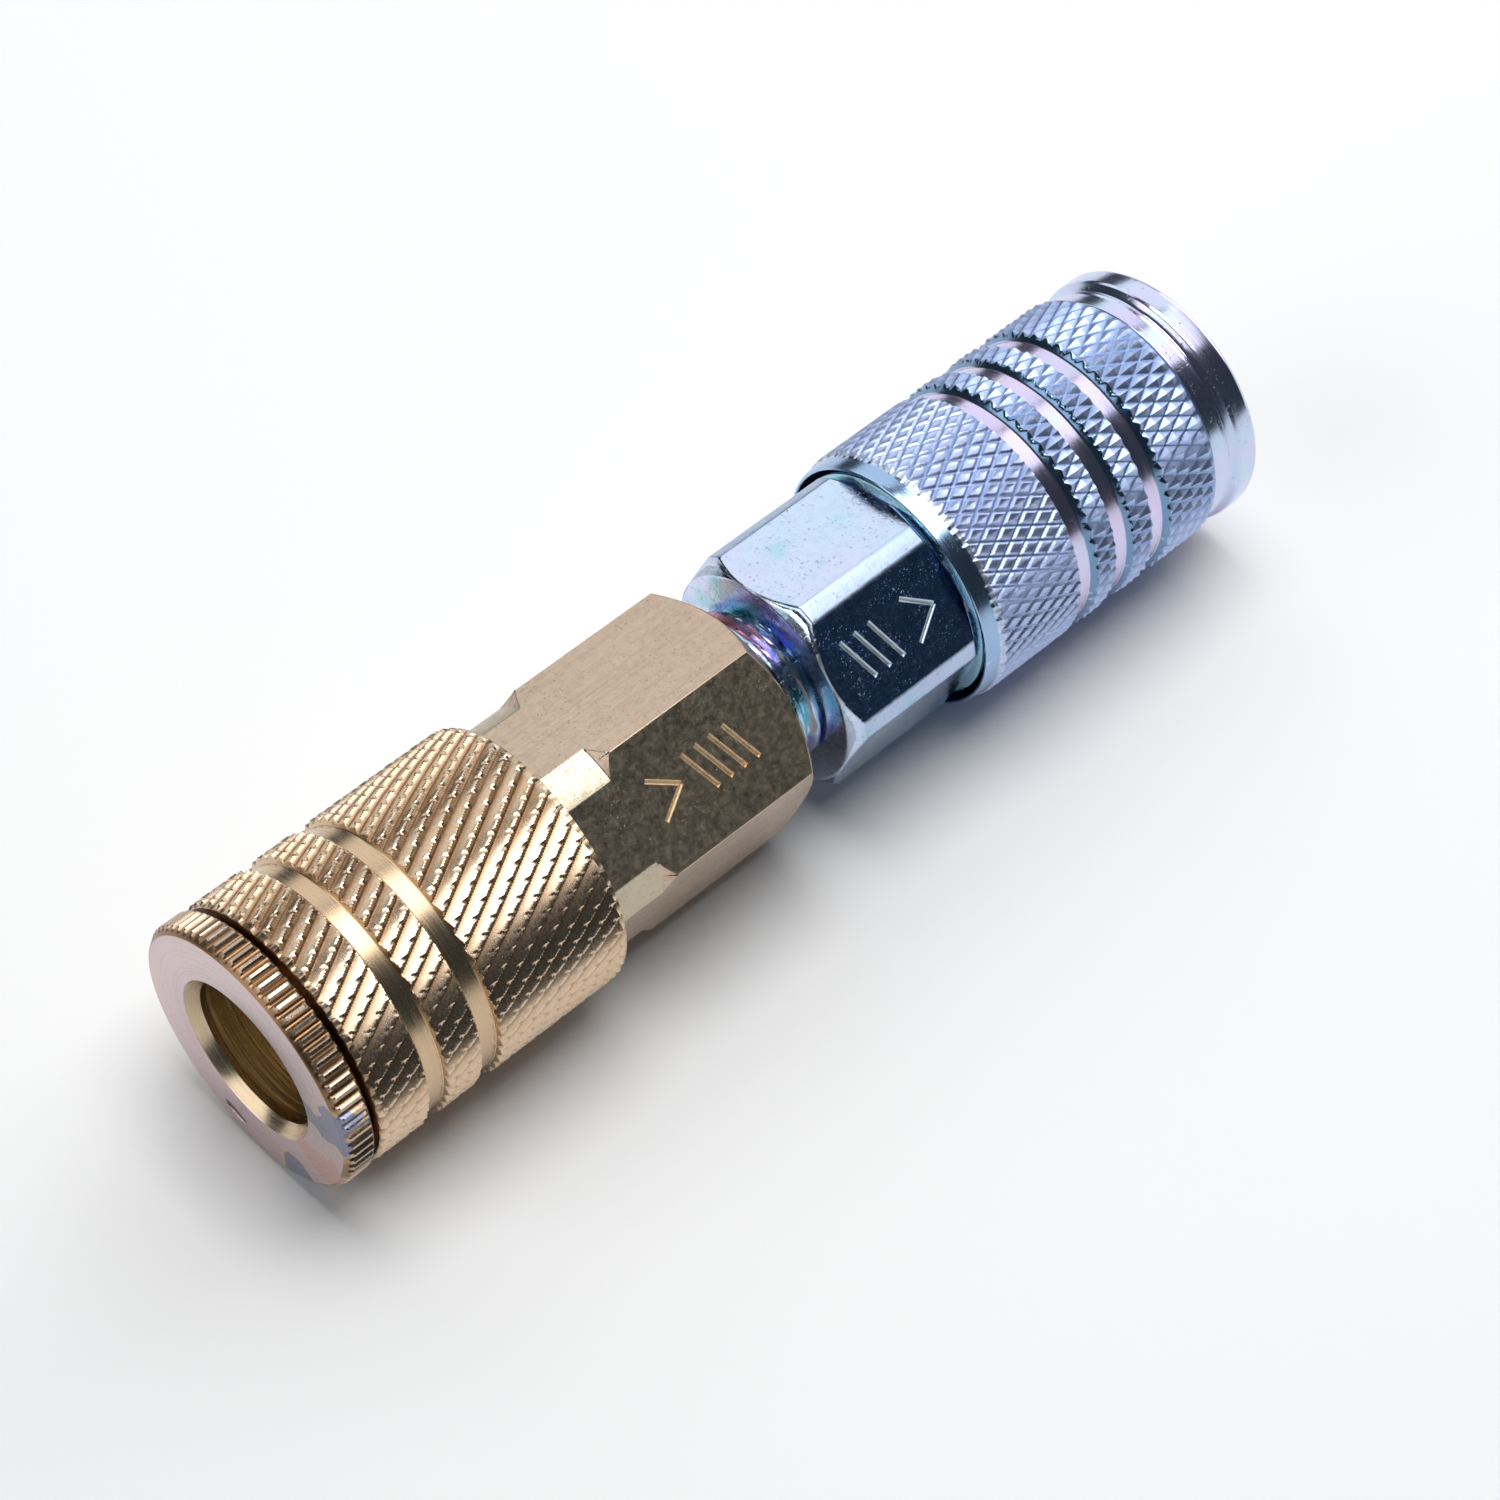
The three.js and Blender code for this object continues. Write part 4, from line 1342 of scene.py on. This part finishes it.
# %% Zinc recipe
def zinc_material(name, tints, roughness, lines, per_mm=5.0, rim_end=None, collar_x=None,
                  scratched=0.5, specked=0.3, drift=150.0):
    material, graph, shader, place = start_material(name)
    color = graph.mix(graph.ramp(graph.noise(place, drift, 3.0), 0.40, 0.58), tints[0], tints[1])
    patches = graph.noise(place, drift * 2.4, 2.0)
    color = graph.mix(graph.ramp(patches, 0.56, 0.70, 0.0, 0.7), color, tints[2])
    marks = graph.use(turning_marks, place, Per_mm=per_mm)
    rough = graph.ramp(marks, 0.3, 0.7, roughness * 0.8, roughness * 1.3)
    height = graph.times(marks, lines)
    if rim_end is not None:
        color, rough, height = plated_knurl(graph, place, rim_end, color, rough, height)
    if collar_x is not None:
        color, rough, height = plated_bar(graph, place, collar_x, color, rough, height)
    spots = graph.use(specks, place, Per_m=1900.0, Amount=specked)
    color = graph.mix(spots, color, (0.16, 0.20, 0.30))
    nicks = graph.use(fine_scratches, place, Amount=scratched)
    rough = graph.more(rough, nicks, 0.25)
    worn = graph.use(edge_wear, place, From=0.53, To=0.62)
    color = graph.tint(color, worn, 0.45, (0.86, 0.90, 0.97))
    height = graph.minus(height, graph.plus(graph.times(nicks, 0.6), graph.times(spots, 0.5)))
    return close_material(material, graph, shader, color, rough, height)


print("zinc recipe ready")

# %% Zinc finishes
sleeve_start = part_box("steel_sleeve")[0].x / MM
hexagon_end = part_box("steel_rear_body")[1].x / MM - STEEL_HEX_SETBACK
zinc_finishes = {
    "steel_sleeve": zinc_material("zinc_knurled", (LILAC, ROSE, PALE_BLUE), 0.18, 0.05, 6.0,
                                  rim_end=sleeve_start + 1.5, scratched=0.2, specked=0.1),
    "steel_nose_ring": zinc_material("zinc_nose", (LILAC, PALE_BLUE, ROSE), 0.17, 0.08, 7.0),
    "steel_rear_body": zinc_material("zinc_bar", (PALE_BLUE, (0.60, 0.66, 0.86), TEAL), 0.13, 0.06,
                                     collar_x=hexagon_end, scratched=0.9, specked=0.4, drift=95.0),
    "steel_barrel": zinc_material("zinc_bored", (PALE_BLUE, TEAL, LILAC), 0.25, 0.6),
    "steel_valve_guide": zinc_material("zinc_turned", (PALE_BLUE, LILAC, TEAL), 0.25, 0.4),
}
zinc_finishes["steel_valve_poppet"] = zinc_finishes["steel_valve_guide"]
print("zinc finishes:", len(set(zinc_finishes.values())))

# %% [markdown]
# ## Springs, balls, copper and rubber
#
# The hidden pieces show only through the mouth and when a sleeve is pulled back. Ball steel is
# polished, spring wire keeps its drawing lines, the stop ring is copper, and the seals are a
# matt black rubber with a little dust.

# %% Plain metals and rubber
def plain_metal(name, base, shade, roughness, lines, per_mm):
    material, graph, shader, place = start_material(name)
    color = graph.mix(graph.ramp(graph.noise(place, 320.0, 3.0), 0.4, 0.62), base, shade)
    marks = graph.use(turning_marks, place, Per_mm=per_mm)
    nicks = graph.use(fine_scratches, place, Amount=0.5)
    rough = graph.ramp(marks, 0.3, 0.7, roughness * 0.8, roughness * 1.3)
    worn = graph.use(edge_wear, place, From=0.53, To=0.62)
    color = graph.tint(color, worn, 0.4, scaled(base, 1.35))
    return close_material(material, graph, shader, color, graph.more(rough, nicks, 0.2),
                          graph.times(marks, lines))


def rubber_material():
    material, graph, shader, place = start_material("nitrile_rubber")
    dust = graph.ramp(graph.noise(place, 1400.0, 5.0, 0.7), 0.5, 0.75)
    color = graph.tint((0.016, 0.016, 0.018), dust, 0.35, (0.07, 0.068, 0.062))
    rough = graph.ramp(dust, 0.0, 1.0, 0.42, 0.7)
    height = graph.noise(place, 3600.0, 3.0)
    return close_material(material, graph, shader, color, rough, height, 0.00001, 0.0)


SLOT_FINISHES = {
    "hard_steel": plain_metal("ball_steel", (0.60, 0.61, 0.63), (0.52, 0.53, 0.56), 0.1, 0.05, 3.0),
    "spring_steel": plain_metal("spring_wire", (0.40, 0.40, 0.41), (0.30, 0.30, 0.33), 0.28, 0.4, 9.0),
    "copper": plain_metal("stop_ring_copper", (0.80, 0.42, 0.16), (0.62, 0.28, 0.10), 0.22, 0.4, 6.0),
    "nitrile": rubber_material(),
}
SLOT_OF = {row["node"]: row["material_slot"] for row in frame["record"]["subparts"]}
FINISH_OF = {**brass_finishes, **zinc_finishes}
for node, piece in pieces.items():
    finish = FINISH_OF.get(node) or SLOT_FINISHES[SLOT_OF[node]]
    piece.data.materials.clear()
    piece.data.materials.append(finish)
print("materials:", len(bpy.data.materials))

# %% [markdown]
# ## Sizes and the end
#
# The imported model's box is printed at the end.

# %% Sizes
print("cad box", [[round(v, 5) for v in c] for c in cad_box])
